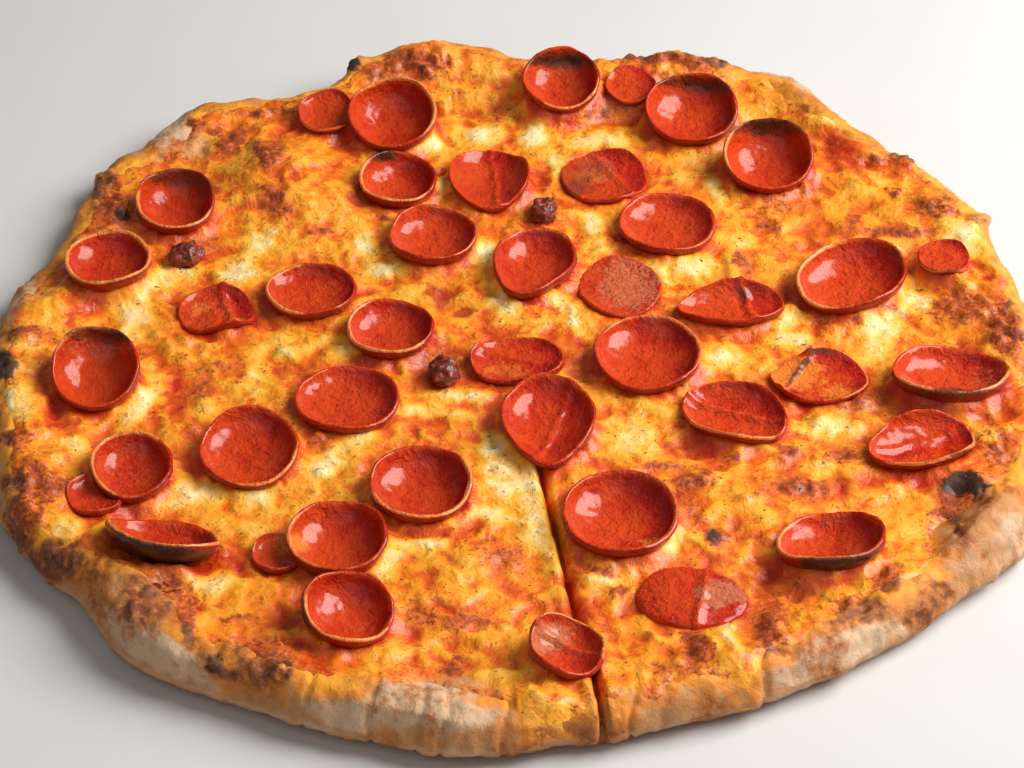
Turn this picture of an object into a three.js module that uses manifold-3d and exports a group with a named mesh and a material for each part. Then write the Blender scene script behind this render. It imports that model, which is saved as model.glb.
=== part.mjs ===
// A baked pepperoni pizza, 14 inches across, lying flat on its base.
// Millimetres, Z up, X to the right and Y to the back. The middle of the base is the origin.
// The dough is one body, the cheese a layer fitted to it, and each slice of pepperoni lies
// in a bed cut into the cheese. One cut runs from near the middle out through the front rim.

import * as THREE from 'three';
import { mergeVertices } from 'three/addons/utils/BufferGeometryUtils.js';
import Module from 'manifold-3d';

const wasm = await Module();
wasm.setup();

// ---------------------------------------------------------------- driving sizes

const OUTLINE_RADIUS = 173;
const BASE_THICKNESS = 5.5;
const RIM_WIDTH = 30;
const CROWN_INSET = 11;
const CROWN_HEIGHT = 16;
const BELLY_SHARE = 0.42;
const FOOT_INSET = 8;

const CHEESE_THICKNESS = 4.3;
const CHEESE_EDGE_THICKNESS = 1.7;
const CHEESE_TAPER = 24;
const CHEESE_EDGE_INSET = 8;
const LEAST_EDGE_INSET = 4;
const CHEESE_WAVE = 0.5;
const WAVE_LENGTH = 34;

const CLEARANCE = 0.35;
const SHEET_GAP = 0.4;

const SLICE_THICKNESS = 1.8;
const SLICE_SINK = 1.5;
const LEAST_OVER_DOUGH = 1;
const BED_LID = 14;
const TIP_SHARPNESS = 8;
const RIPPLES_ROUND = 3;
const SLOW_RIPPLES_ROUND = 2;
const SLOW_RIPPLE_SHARE = 0.6;

const CUT_WIDTH = 1.2;
const CUT_START = new THREE.Vector2(5, -48);
const CUT_END = new THREE.Vector2(27, -186);
const CUT_HEIGHT = 60;

// ---------------------------------------------------------------- the uneven edge, by angle
// at: degrees from +X towards +Y. by: millimetres added there. spread: degrees.

const OUTLINE_LOBES = [
  { at: 172, by: 4, spread: 6 },
  { at: 160, by: -1.5, spread: 6 },
  { at: 145, by: 9.5, spread: 7 },
  { at: 131, by: 14, spread: 7 },
  { at: 118, by: -5.5, spread: 5 },
  { at: 107, by: 8.5, spread: 5 },
  { at: 98, by: 6, spread: 4 },
  { at: 87, by: -3, spread: 7 },
  { at: 70, by: 6.5, spread: 6 },
  { at: 57, by: 14, spread: 8 },
  { at: 35, by: 6, spread: 7 },
  { at: 24, by: 4.5, spread: 5 },
  { at: -8, by: 3, spread: 10 },
  { at: -30, by: 8, spread: 9 },
  { at: -70, by: -1.5, spread: 9 },
  { at: -97, by: 5.5, spread: 7 },
  { at: -113, by: 3.5, spread: 8 },
  { at: -129, by: 9, spread: 8 },
  { at: -151, by: 7, spread: 9 },
  { at: -172, by: 3, spread: 9 },
];

const CROWN_LOBES = [
  { at: 165, by: -3, spread: 12 },
  { at: 140, by: -2, spread: 10 },
  { at: 101, by: 8, spread: 6 },
  { at: 86, by: 2, spread: 7 },
  { at: 70, by: 6, spread: 7 },
  { at: 54, by: 3, spread: 8 },
  { at: 5, by: 2, spread: 9 },
  { at: -32, by: 4, spread: 7 },
  { at: -60, by: 2, spread: 11 },
  { at: -100, by: 2.5, spread: 9 },
  { at: -133, by: 3, spread: 6 },
  { at: -157, by: 3, spread: 7 },
];

const CHEESE_EDGE_LOBES = [
  { at: 140, by: 4, spread: 9 },
  { at: 100, by: 7, spread: 5 },
  { at: 86, by: -3, spread: 8 },
  { at: 56, by: 11, spread: 8 },
  { at: -32, by: 12, spread: 7 },
  { at: -46, by: 5, spread: 8 },
  { at: -62, by: 4, spread: 9 },
  { at: -101, by: 13, spread: 9 },
  { at: -130, by: 11, spread: 9 },
  { at: -154, by: -2, spread: 9 },
];

// Bubbles blown up in the dough: middle, half widths and height.
const BUBBLE_ROUNDNESS = 1.5;
const BUBBLES = [
  { x: -83, y: 95, across: 28, deep: 35, height: 12 },
  { x: -21, y: -109, across: 17, deep: 17, height: 5 },
  { x: -112, y: -120, across: 17, deep: 15, height: 4 },
  { x: 124, y: 62, across: 20, deep: 15, height: 4 },
  { x: 70, y: -78, across: 18, deep: 20, height: 2.5 },
];

// ---------------------------------------------------------------- toppings
// x, y: middle of the slice's rim. radius: half its width. oval: length over width, along turn.
// cup: height of the curled wall, a dome if negative. lean: degrees that its open face tips
// towards the direction leanTo. fold: rise of both sides of a crease along turn.
// tip, tipAt: a point drawn out of the outline. ripple: uneven height round the edge.
// under: a slice that lies over this one. Angles are in degrees from +X towards +Y.

const PLAIN_SLICE = {
  radius: 17,
  oval: 1,
  turn: 0,
  cup: 7,
  lean: 0,
  leanTo: -90,
  fold: 0,
  tip: 0,
  tipAt: -90,
  ripple: 0.6,
  segments: 12,
};

const SLICES = [
  { name: '01', x: 15, y: 143.4, radius: 14.5, cup: 7.5, lean: 17 },
  { name: '02', x: -46, y: 125, radius: 16.2, cup: 9, lean: 18 },
  { name: '03', x: 62, y: 130, radius: 17, cup: 8, lean: 14 },
  { name: '04', x: 88, y: 100, radius: 16.2, cup: 9, lean: 19 },
  { name: '05', x: -43, y: 90, radius: 14, cup: 7, lean: 5, leanTo: -60 },
  { name: '06', x: -11, y: 94, radius: 14.5, oval: 1.2, turn: 90, cup: 3, fold: 4 },
  { name: '07', x: 30, y: 98, radius: 15.5, cup: 1.5, ripple: 1.3 },
  { name: '08', x: -120, y: 74, radius: 14, oval: 1.07, turn: 90, cup: 8.5, lean: 11, leanTo: -70 },
  { name: '09', x: 51, y: 67, radius: 17, cup: 5.5 },
  { name: '10', x: -30, y: 59, radius: 15.7, cup: 6.5 },
  { name: '11', x: 5, y: 45, radius: 14.3, oval: 1.22, turn: 75, cup: 6.5, tip: 0.25, tipAt: -105 },
  { name: '12', x: -140, y: 40.5, radius: 15, cup: 7 },
  { name: '13', x: 112, y: 34, radius: 17, oval: 1.2, turn: 35, cup: 7, lean: 6, leanTo: -150 },
  { name: '14', x: -71, y: 29, radius: 14, oval: 1.1, turn: -15, cup: 5, tip: 0.1, tipAt: 25 },
  { name: '15', x: 34, y: 35, radius: 14.2, oval: 1.12, turn: 90, cup: 1, ripple: 0.9 },
  { name: '16', x: -102, y: 21, radius: 11.7, oval: 1.12, cup: 1.5, fold: 2, ripple: 1.6 },
  { name: '17', x: 72, y: 23, radius: 11, oval: 1.6, turn: 5, cup: 3, fold: 2.5, tip: 0.15, tipAt: 185 },
  { name: '18', x: -43, y: 8, radius: 14.7, cup: 6 },
  { name: '19', x: 42, y: -6, radius: 18, cup: 6.5, lean: 4 },
  { name: '20', x: -1, y: -5, radius: 11.5, oval: 1.38, turn: 5, cup: 2.5, ripple: 1 },
  { name: '21', x: -138, y: -18, radius: 14.4, oval: 1.15, turn: 90, cup: 8.5, lean: 19, leanTo: -80 },
  { name: '22', x: 9, y: -38, radius: 15.6, oval: 1.18, turn: 90, cup: 6.5, lean: 5, tip: 0.28, tipAt: -92 },
  { name: '23', x: -56, y: -27, radius: 16.2, oval: 1.06, cup: 5 },
  { name: '24', x: 69, y: -34, radius: 14, oval: 1.27, turn: -25, cup: 3.5, fold: 3 },
  { name: '25', x: 98, y: -14, radius: 12.7, oval: 1.26, cup: 1.5, fold: 1.5, ripple: 1 },
  { name: '26', x: 140, y: -17.5, radius: 16, oval: 1.23, cup: 6.5, lean: 11, leanTo: 90 },
  { name: '27', x: 129, y: -48, radius: 12.3, oval: 1.4, turn: 18, cup: 4, fold: 3, tip: 0.2, tipAt: 195 },
  { name: '28', x: -86, y: -53, radius: 16, oval: 1.06, turn: 90, cup: 6, lean: 8 },
  { name: '29', x: -122, y: -63, radius: 13.3, oval: 1.12, turn: 100, cup: 7, lean: 6, leanTo: -50 },
  { name: '30', x: -31, y: -70.5, radius: 16.4, cup: 7, lean: 4 },
  { name: '31', x: -56, y: -95, radius: 15.8, cup: 7.5, lean: 2 },
  { name: '32', x: 31, y: -84, radius: 18.2, oval: 1.03, turn: 90, cup: 7, lean: 2 },
  { name: '33', x: 95, y: -96.5, radius: 16.2, oval: 1.06, turn: 10, cup: 6.5, lean: 18, leanTo: 120 },
  { name: '34', x: -109, y: -95, radius: 14.6, oval: 1.27, turn: -12, cup: 6.5, lean: 31, leanTo: 72 },
  { name: '35', x: -51, y: -128, radius: 14.2, oval: 1.04, turn: 90, cup: 7.5, lean: 13, leanTo: -20 },
  { name: '36', x: 52, y: -117, radius: 13, oval: 1.3, turn: -8, cup: -2, ripple: 0.6 },
  { name: '37', x: 14, y: -144, radius: 11.2, oval: 1.2, turn: 110, cup: 5, lean: 7, leanTo: 10, ripple: 1 },
  { name: '38', x: -70, y: 129, radius: 10.5, cup: 2.5, lean: 12, under: '02', segments: 10 },
  { name: '39', x: 144, y: 42, radius: 9, cup: 1, ripple: 0.8, segments: 9 },
  { name: '40', x: -74, y: -98, radius: 8.5, cup: 2.5, under: '31', segments: 9 },
  { name: '41', x: 40.5, y: 145.5, radius: 9.5, cup: 1.5, lean: 10, ripple: 0.8, segments: 9 },
  { name: '42', x: -132, y: -74.5, radius: 9.5, cup: 2.5, under: '29', segments: 9 },
];

// Baked crumbs of meat: middle, half widths along X, Y and Z, and turn.
const CRUMBS = [
  { name: 'dark', x: -25, y: -12, size: [5, 6.5, 4.5], turn: 20 },
  { name: 'red', x: 8, y: 76, size: [4.5, 6, 4], turn: -15 },
  { name: 'brown', x: -115, y: 51, size: [7, 5.5, 4], turn: 30 },
];
const CRUMB_SINK = 1.6;
const CRUMB_ROUGHNESS = 0.16;
const CRUMB_LUMPS = new THREE.Vector3(5, 4, 3);

// ---------------------------------------------------------------- mesh resolution

// Share of the way from the middle to the cheese's edge, and points round each ring.
const TOP_RINGS = [
  [0.16, 18],
  [0.33, 36],
  [0.5, 72],
  [0.62, 72],
  [0.73, 72],
  [0.83, 72],
  [0.92, 72],
  [1, 72],
];
const UNDER_RINGS = [
  [0.25, 18],
  [0.5, 36],
  [0.64, 72],
  [0.76, 72],
  [0.86, 72],
  [0.93, 72],
  [1, 72],
];
const BARE_RINGS = [0.4, 0.75, 1];
const UNDERCUT_ANGLES = [-30, -62, -90];

// Share of the slice's radius of each ring, its width, its height and how far its outside
// faces outwards.
const SLICE_RINGS = [
  { reach: 0.5, height: 0.07, outward: 0.15 },
  { reach: 0.87, height: 0.45, outward: 0.6 },
  { reach: 1, height: 1, outward: 0.85 },
];
const RIM_RING = SLICE_RINGS[SLICE_RINGS.length - 1];
const FULL_CUP = 7;

// ---------------------------------------------------------------- small helpers

function lobeSum(lobes, angle) {
  let sum = 0;
  for (const lobe of lobes) {
    const turn = THREE.MathUtils.euclideanModulo(angle - lobe.at + 180, 360) - 180;
    sum += lobe.by * Math.exp(-((turn / lobe.spread) ** 2));
  }
  return sum;
}

function angleOf(x, y) {
  return THREE.MathUtils.radToDeg(Math.atan2(y, x));
}

function outlineRadius(angle) {
  return OUTLINE_RADIUS + lobeSum(OUTLINE_LOBES, angle);
}

function crownHeight(angle) {
  return CROWN_HEIGHT + lobeSum(CROWN_LOBES, angle);
}

function cheeseEdgeInset(angle) {
  return Math.max(LEAST_EDGE_INSET, CHEESE_EDGE_INSET + lobeSum(CHEESE_EDGE_LOBES, angle));
}

function insetAt(x, y) {
  return outlineRadius(angleOf(x, y)) - Math.hypot(x, y);
}

// ---------------------------------------------------------------- surfaces

function bubbleHeight(x, y) {
  let height = 0;
  for (const bubble of BUBBLES) {
    const reach = Math.hypot((x - bubble.x) / bubble.across, (y - bubble.y) / bubble.deep);
    if (reach < 1) {
      height += bubble.height * (1 - reach * reach) ** BUBBLE_ROUNDNESS;
    }
  }
  return height;
}

function doughTop(x, y) {
  const inset = insetAt(x, y);
  const crown = crownHeight(angleOf(x, y));
  if (inset > CROWN_INSET) {
    const rise = 1 - THREE.MathUtils.smoothstep(inset, CROWN_INSET, RIM_WIDTH);
    return THREE.MathUtils.lerp(BASE_THICKNESS, crown, rise) + bubbleHeight(x, y);
  }
  const out = Math.min(1, (CROWN_INSET - inset) / CROWN_INSET);
  const belly = BELLY_SHARE * crown;
  return belly + (crown - belly) * Math.sqrt(1 - out * out);
}

function cheeseTop(x, y) {
  const inset = insetAt(x, y) - cheeseEdgeInset(angleOf(x, y));
  const full = THREE.MathUtils.smoothstep(inset, 0, CHEESE_TAPER);
  const thickness = THREE.MathUtils.lerp(CHEESE_EDGE_THICKNESS, CHEESE_THICKNESS, full);
  const wave = Math.sin(x / WAVE_LENGTH * Math.PI) * Math.cos(y / WAVE_LENGTH * Math.PI);
  return doughTop(x, y) + thickness + CHEESE_WAVE * full * wave;
}

// ---------------------------------------------------------------- mesh building

class Shell {
  constructor() {
    this.positions = [];
    this.triangles = [];
  }

  addPoint(x, y, z) {
    this.positions.push(x, y, z);
    return this.positions.length / 3 - 1;
  }

  addLoop(points) {
    return points.map((point) => this.addPoint(point.x, point.y, point.z));
  }

  addTriangle(a, b, c, flip) {
    if (flip) {
      this.triangles.push(a, c, b);
    } else {
      this.triangles.push(a, b, c);
    }
  }

  // A fan from one point to a loop that runs anticlockwise about it.
  fan(middle, loop, flip = false) {
    for (let i = 0; i < loop.length; i += 1) {
      this.addTriangle(middle, loop[i], loop[(i + 1) % loop.length], flip);
    }
  }

  // A strip from a loop to the next one out, with as many points or twice as many.
  bridge(inner, outer, flip = false) {
    const step = outer.length / inner.length;
    for (let i = 0; i < inner.length; i += 1) {
      const next = (i + 1) % inner.length;
      const first = outer[i * step];
      const last = outer[((i + 1) * step) % outer.length];
      if (step === 1) {
        this.addTriangle(inner[i], first, last, flip);
      } else {
        const between = outer[i * step + 1];
        this.addTriangle(inner[i], first, between, flip);
        this.addTriangle(inner[i], between, last, flip);
      }
      this.addTriangle(inner[i], last, inner[next], flip);
    }
  }

  toManifold() {
    return new wasm.Manifold(new wasm.Mesh({
      numProp: 3,
      vertProperties: new Float32Array(this.positions),
      triVerts: new Uint32Array(this.triangles),
    }));
  }
}

function geometryToManifold(geometry) {
  geometry.deleteAttribute('normal');
  geometry.deleteAttribute('uv');
  const merged = mergeVertices(geometry);
  return new wasm.Manifold(new wasm.Mesh({
    numProp: 3,
    vertProperties: new Float32Array(merged.attributes.position.array),
    triVerts: new Uint32Array(merged.index.array),
  }));
}

function manifoldToMesh(name, manifold, material) {
  const solid = manifold.getMesh();
  const geometry = new THREE.BufferGeometry();
  geometry.setAttribute('position', new THREE.BufferAttribute(solid.vertProperties, 3));
  geometry.setIndex(new THREE.BufferAttribute(solid.triVerts, 1));
  geometry.computeVertexNormals();
  const mesh = new THREE.Mesh(geometry, material);
  mesh.name = name;
  return mesh;
}

// ---------------------------------------------------------------- dough and cheese

// Points of a ring round the pizza: radiusAt gives its radius and heightAt its height.
function ringPoints(count, radiusAt, heightAt) {
  const points = [];
  for (let i = 0; i < count; i += 1) {
    const angle = (i / count) * 360;
    const radius = radiusAt(angle);
    const radians = THREE.MathUtils.degToRad(angle);
    const x = radius * Math.cos(radians);
    const y = radius * Math.sin(radians);
    points.push(new THREE.Vector3(x, y, heightAt(x, y, angle)));
  }
  return points;
}

function cheeseEdgeRadius(angle) {
  return outlineRadius(angle) - cheeseEdgeInset(angle);
}

// One sheet from the middle out to the cheese's edge. Returns its outer loop.
function addSheet(shell, rings, heightAt, flip) {
  const middle = shell.addPoint(0, 0, heightAt(0, 0));
  let inner = null;
  for (const [share, count] of rings) {
    const points = ringPoints(count, (angle) => share * cheeseEdgeRadius(angle), heightAt);
    const loop = shell.addLoop(points);
    if (inner === null) {
      shell.fan(middle, loop, flip);
    } else {
      shell.bridge(inner, loop, flip);
    }
    inner = loop;
  }
  return inner;
}

function buildDough() {
  const shell = new Shell();
  let loop = addSheet(shell, UNDER_RINGS, doughTop, false);
  const count = loop.length;
  for (const share of BARE_RINGS) {
    const radiusAt = (angle) => THREE.MathUtils.lerp(cheeseEdgeRadius(angle), outlineRadius(angle), share);
    const next = shell.addLoop(ringPoints(count, radiusAt, doughTop));
    shell.bridge(loop, next);
    loop = next;
  }
  for (const below of UNDERCUT_ANGLES) {
    const radians = THREE.MathUtils.degToRad(below);
    const radiusAt = (angle) => outlineRadius(angle) - FOOT_INSET * (1 - Math.cos(radians));
    const heightAt = (x, y, angle) => BELLY_SHARE * crownHeight(angle) * (1 + Math.sin(radians));
    const next = shell.addLoop(ringPoints(count, radiusAt, heightAt));
    shell.bridge(loop, next);
    loop = next;
  }
  shell.fan(shell.addPoint(0, 0, 0), loop, true);
  return shell.toManifold();
}

function buildCheese() {
  const shell = new Shell();
  const top = addSheet(shell, TOP_RINGS, cheeseTop, false);
  const bottom = addSheet(shell, UNDER_RINGS, (x, y) => doughTop(x, y) + SHEET_GAP, true);
  shell.bridge(top, bottom);
  return shell.toManifold();
}

function buildCut() {
  const along = CUT_END.clone().sub(CUT_START);
  const box = new THREE.BoxGeometry(along.length(), CUT_WIDTH, CUT_HEIGHT);
  const middle = CUT_START.clone().add(CUT_END).multiplyScalar(0.5);
  box.rotateZ(along.angle());
  box.translate(middle.x, middle.y, 0);
  return geometryToManifold(box);
}

// ---------------------------------------------------------------- pepperoni

function outwardShare(slice, ring) {
  return ring.outward * THREE.MathUtils.clamp(slice.cup / FULL_CUP, 0, 1);
}

// A point of the slice's upper face in its own frame, or depth below it along the face.
// spread widens the outline.
function slicePoint(slice, ring, around, depth, spread) {
  const turn = THREE.MathUtils.degToRad(slice.turn);
  const tipTurn = around - THREE.MathUtils.degToRad(slice.tipAt);
  const drawnOut = 1 + slice.tip * Math.max(0, Math.cos(tipTurn)) ** TIP_SHARPNESS;
  const wall = SLICE_THICKNESS * outwardShare(slice, RIM_RING);
  const reach = (slice.radius - wall + spread) * ring.reach * drawnOut;
  const along = reach * slice.oval * Math.cos(around - turn);
  const across = reach * Math.sin(around - turn);
  const quick = Math.sin(RIPPLES_ROUND * around + slice.x);
  const slow = Math.cos(SLOW_RIPPLES_ROUND * around + slice.y);
  const wave = quick + SLOW_RIPPLE_SHARE * slow;
  const crease = slice.fold * (across / slice.radius) ** 2;
  const height = slice.cup * ring.height + crease + slice.ripple * wave * ring.reach * ring.height;
  const outward = outwardShare(slice, ring);
  const down = Math.sqrt(1 - outward * outward);
  const point = new THREE.Vector3(along, across, height);
  point.applyAxisAngle(new THREE.Vector3(0, 0, 1), turn);
  point.x += depth * outward * Math.cos(around);
  point.y += depth * outward * Math.sin(around);
  point.z -= depth * down;
  return point;
}

function sliceLoop(slice, ring, depth, spread = 0) {
  const points = [];
  for (let i = 0; i < slice.segments; i += 1) {
    points.push(slicePoint(slice, ring, (i / slice.segments) * 2 * Math.PI, depth, spread));
  }
  return points;
}

// The slice itself: an upper and a lower face joined round the edge.
function sliceShell(slice) {
  const shell = new Shell();
  let upper = null;
  let lower = null;
  for (const ring of SLICE_RINGS) {
    const above = shell.addLoop(sliceLoop(slice, ring, 0));
    const below = shell.addLoop(sliceLoop(slice, ring, SLICE_THICKNESS));
    if (upper === null) {
      shell.fan(shell.addPoint(0, 0, 0), above);
      shell.fan(shell.addPoint(0, 0, -SLICE_THICKNESS), below, true);
    } else {
      shell.bridge(upper, above);
      shell.bridge(lower, below, true);
    }
    upper = above;
    lower = below;
  }
  shell.bridge(upper, lower);
  return shell;
}

// The room the slice takes up: its lower face kept clear, closed by a lid above it.
function bedShell(slice) {
  const shell = new Shell();
  const depth = SLICE_THICKNESS + CLEARANCE;
  let lower = null;
  let rim = [];
  for (const ring of SLICE_RINGS) {
    rim = sliceLoop(slice, ring, depth, CLEARANCE);
    const below = shell.addLoop(rim);
    if (lower === null) {
      shell.fan(shell.addPoint(0, 0, -depth), below, true);
    } else {
      shell.bridge(lower, below, true);
    }
    lower = below;
  }
  const lidHeight = Math.abs(slice.cup) + BED_LID;
  const lid = shell.addLoop(rim.map((point) => new THREE.Vector3(point.x, point.y, lidHeight)));
  shell.bridge(lid, lower);
  shell.fan(shell.addPoint(0, 0, lidHeight), lid);
  return shell;
}

function placeShell(shell, matrix) {
  for (let i = 0; i < shell.positions.length; i += 3) {
    const point = new THREE.Vector3().fromArray(shell.positions, i).applyMatrix4(matrix);
    point.toArray(shell.positions, i);
  }
}

// The tipped frame of a slice, with the middle of its rim over x, y and its base on the cheese.
function sliceMatrix(slice) {
  const lean = THREE.MathUtils.degToRad(slice.lean);
  const leanTo = THREE.MathUtils.degToRad(slice.leanTo);
  const facing = new THREE.Vector3(
    Math.sin(lean) * Math.cos(leanTo),
    Math.sin(lean) * Math.sin(leanTo),
    Math.cos(lean),
  );
  const tipped = new THREE.Quaternion().setFromUnitVectors(new THREE.Vector3(0, 0, 1), facing);
  const matrix = new THREE.Matrix4().makeRotationFromQuaternion(tipped);
  const rimMiddle = facing.clone().multiplyScalar(slice.cup);
  matrix.setPosition(slice.x - rimMiddle.x, slice.y - rimMiddle.y, 0);
  matrix.premultiply(new THREE.Matrix4().makeTranslation(0, 0, restHeight(slice, matrix)));
  return matrix;
}

function restHeight(slice, matrix) {
  let lift = -Infinity;
  for (const ring of SLICE_RINGS) {
    for (const local of sliceLoop(slice, ring, SLICE_THICKNESS)) {
      const point = local.applyMatrix4(matrix);
      lift = Math.max(lift, doughTop(point.x, point.y) + LEAST_OVER_DOUGH - point.z);
      if (ring === SLICE_RINGS[0] || slice.cup < 0) {
        lift = Math.max(lift, cheeseTop(point.x, point.y) - SLICE_SINK - point.z);
      }
    }
  }
  return lift;
}

function buildSlices() {
  const slices = new Map();
  for (const row of SLICES) {
    const slice = { ...PLAIN_SLICE, ...row };
    const matrix = sliceMatrix(slice);
    const body = sliceShell(slice);
    const bed = bedShell(slice);
    placeShell(body, matrix);
    placeShell(bed, matrix);
    let solid = body.toManifold();
    if (slice.under) {
      solid = solid.subtract(slices.get(slice.under).bed);
    }
    slices.set(slice.name, { solid, bed: bed.toManifold() });
  }
  return slices;
}

// ---------------------------------------------------------------- crumbs

function crumbShape(crumb, grow) {
  const geometry = new THREE.IcosahedronGeometry(1, 1);
  const position = geometry.attributes.position;
  const point = new THREE.Vector3();
  for (let i = 0; i < position.count; i += 1) {
    point.fromBufferAttribute(position, i);
    const lumps = point.clone().multiply(CRUMB_LUMPS);
    const bump = Math.sin(lumps.x + crumb.x) * Math.cos(lumps.y + crumb.y + lumps.z);
    point.multiplyScalar(1 + CRUMB_ROUGHNESS * bump);
    position.setXYZ(i, point.x, point.y, point.z);
  }
  geometry.scale(crumb.size[0] + grow, crumb.size[1] + grow, crumb.size[2] + grow);
  geometry.rotateZ(THREE.MathUtils.degToRad(crumb.turn));
  const rest = cheeseTop(crumb.x, crumb.y) + crumb.size[2] - CRUMB_SINK;
  geometry.translate(crumb.x, crumb.y, rest);
  return geometryToManifold(geometry);
}

// ---------------------------------------------------------------- the pizza

const doughMaterial = new THREE.MeshStandardMaterial({ color: 0xc79a63, roughness: 0.85, metalness: 0 });
const cheeseMaterial = new THREE.MeshStandardMaterial({ color: 0xe89a34, roughness: 0.45, metalness: 0 });
const sliceMaterial = new THREE.MeshStandardMaterial({ color: 0xb52a17, roughness: 0.35, metalness: 0 });
const crumbMaterial = new THREE.MeshStandardMaterial({ color: 0x4a1a12, roughness: 0.6, metalness: 0 });

const pizza = new THREE.Group();
const cut = buildCut();
let cheese = buildCheese().subtract(cut);

for (const [name, slice] of buildSlices()) {
  cheese = cheese.subtract(slice.bed);
  pizza.add(manifoldToMesh(`pepperoni_${name}`, slice.solid, sliceMaterial.clone()));
}

for (const crumb of CRUMBS) {
  cheese = cheese.subtract(crumbShape(crumb, CLEARANCE));
  pizza.add(manifoldToMesh(`crumb_${crumb.name}`, crumbShape(crumb, 0), crumbMaterial.clone()));
}

pizza.add(manifoldToMesh('dough', buildDough().subtract(cut), doughMaterial));
pizza.add(manifoldToMesh('cheese', cheese, cheeseMaterial));

export default pizza;
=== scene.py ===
"""A baked pepperoni pizza: blistered rim, molten cheese, curled slices of pepperoni and dried herbs."""

import logging
import math
from collections.abc import Callable, Iterator, Sequence
from contextlib import contextmanager
from dataclasses import dataclass, field
from enum import Enum

import bmesh
import bpy
import numpy as np
from mathutils import Matrix, Vector, noise
from mathutils.bvhtree import BVHTree


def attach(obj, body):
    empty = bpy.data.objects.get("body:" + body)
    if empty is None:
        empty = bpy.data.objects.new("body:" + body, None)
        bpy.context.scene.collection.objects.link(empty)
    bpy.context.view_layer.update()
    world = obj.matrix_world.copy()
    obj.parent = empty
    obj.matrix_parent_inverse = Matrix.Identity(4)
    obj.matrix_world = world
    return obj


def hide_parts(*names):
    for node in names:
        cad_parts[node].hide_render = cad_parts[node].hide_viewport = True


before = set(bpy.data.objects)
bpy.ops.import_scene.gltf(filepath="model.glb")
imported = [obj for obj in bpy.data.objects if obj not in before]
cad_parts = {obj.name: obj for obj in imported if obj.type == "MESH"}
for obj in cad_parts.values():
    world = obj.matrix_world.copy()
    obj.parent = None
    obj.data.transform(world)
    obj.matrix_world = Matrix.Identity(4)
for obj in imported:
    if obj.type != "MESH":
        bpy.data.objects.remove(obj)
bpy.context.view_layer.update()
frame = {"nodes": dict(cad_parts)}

log = logging.getLogger("pizza")

MM = 0.001
BODY = "root"

# How a solid's mesh is joined up and turned into quads, in metres and radians, and how much of
# the shrinking by subdivision is made up for in a round.
WELD = 1e-5
QUAD_BEND = math.radians(50)
QUAD_SKEW = math.radians(80)
FIT_SHARE = 0.85

# Where the lens stands, and the level at which places in the picture are read.
EYE = np.array([0.0, -782.1, 654.3])
READ_LEVEL = 10.0

# The cut, from near the middle out through the front rim.
CUT_START = np.array([5.0, -48.0])
CUT_END = np.array([27.0, -186.0])
CUT_WAY = (CUT_END - CUT_START) / np.linalg.norm(CUT_END - CUT_START)

# The way to the main lamp, on the level; the slices' walls are painted darker towards it as shade.
LAMP_WAY = np.array([0.9, 0.35, 0.0])


# ---------------------------------------------------------------- numbers over points


def smoothstep(low: float, high: float, value: np.ndarray) -> np.ndarray:
    """A smooth rise from 0 at low to 1 at high."""
    t = np.clip((value - low) / (high - low), 0, 1)
    return t * t * (3 - 2 * t)


def bell(apart: np.ndarray, width: float) -> np.ndarray:
    """A bump that falls from 1 where apart is 0 to almost 0 at twice the width."""
    return np.exp(-((apart / width) ** 2))


def grain(points: np.ndarray, size: float, layers: int = 2, shift: float = 0.0) -> np.ndarray:
    """Smooth noise from about -1 to 1.

    Args:
        points: places in millimetres, one a row.
        size: distance over which the noise changes, in millimetres.
        layers: octaves, each half as large and half as strong.
        shift: moves the pattern to another place.

    Returns:
        One value for each point.
    """
    places = (points / size + shift).tolist()
    return np.array([noise.fractal(place, 1.0, 2.0, layers) for place in places])


def seen(points: np.ndarray) -> np.ndarray:
    """Where each point shows on the reading level, so that a named place fits at any height."""
    share = (EYE[2] - READ_LEVEL) / (EYE[2] - points[:, 2])
    return EYE[:2] + (points[:, :2] - EYE[:2]) * share[:, None]


def levelled(places: np.ndarray) -> np.ndarray:
    """Places in x and y given the reading level as their height."""
    return np.column_stack([places, np.full(len(places), READ_LEVEL)])


@dataclass(frozen=True)
class Patch:
    """An oval place on the pizza, in millimetres as read at the reading level."""

    x: float
    y: float
    wide: float
    deep: float
    turn: float = 0.0
    strength: float = 1.0

    def share(self, places: np.ndarray, wobble: np.ndarray, soft: float) -> np.ndarray:
        """How far each place lies in the patch, from 0 to its strength.

        Args:
            places: x and y, one place a row.
            wobble: uneven edge, as a share of the patch's size.
            soft: width of its edge, as a share of its size.

        Returns:
            One value for each place.
        """
        turn = math.radians(self.turn)
        x = places[:, 0] - self.x
        y = places[:, 1] - self.y
        along = (x * math.cos(turn) + y * math.sin(turn)) / self.wide
        across = (y * math.cos(turn) - x * math.sin(turn)) / self.deep
        reach = np.hypot(along, across) + wobble
        return self.strength * (1 - smoothstep(1 - soft, 1 + soft, reach))


def cover(
    patches: Sequence[tuple], places: np.ndarray, wobble: np.ndarray, soft: float = 0.45
) -> np.ndarray:
    """All the patches of one kind laid over each other.

    Args:
        patches: rows of x, y, half width, half depth and, where given, turn and strength.
        places: x and y, one place a row.
        wobble: uneven edge, as a share of a patch's size.
        soft: width of an edge, as a share of its size.

    Returns:
        One value from 0 to 1 for each place.
    """
    left = np.ones(len(places))
    for row in patches:
        left *= 1 - Patch(*row).share(places, wobble, soft)
    return 1 - left


def drifted(places: np.ndarray) -> np.ndarray:
    """Places pushed about by a few millimetres, which turns ovals read on them into uneven stains.

    Args:
        places: x and y, one place a row.

    Returns:
        The pushed places.
    """
    level = levelled(places)
    push = [2.6 * grain(level, 9, 2, shift) + 1.2 * grain(level, 3.2, 2, shift) for shift in (91, 93)]
    return places + np.column_stack(push)


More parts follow.
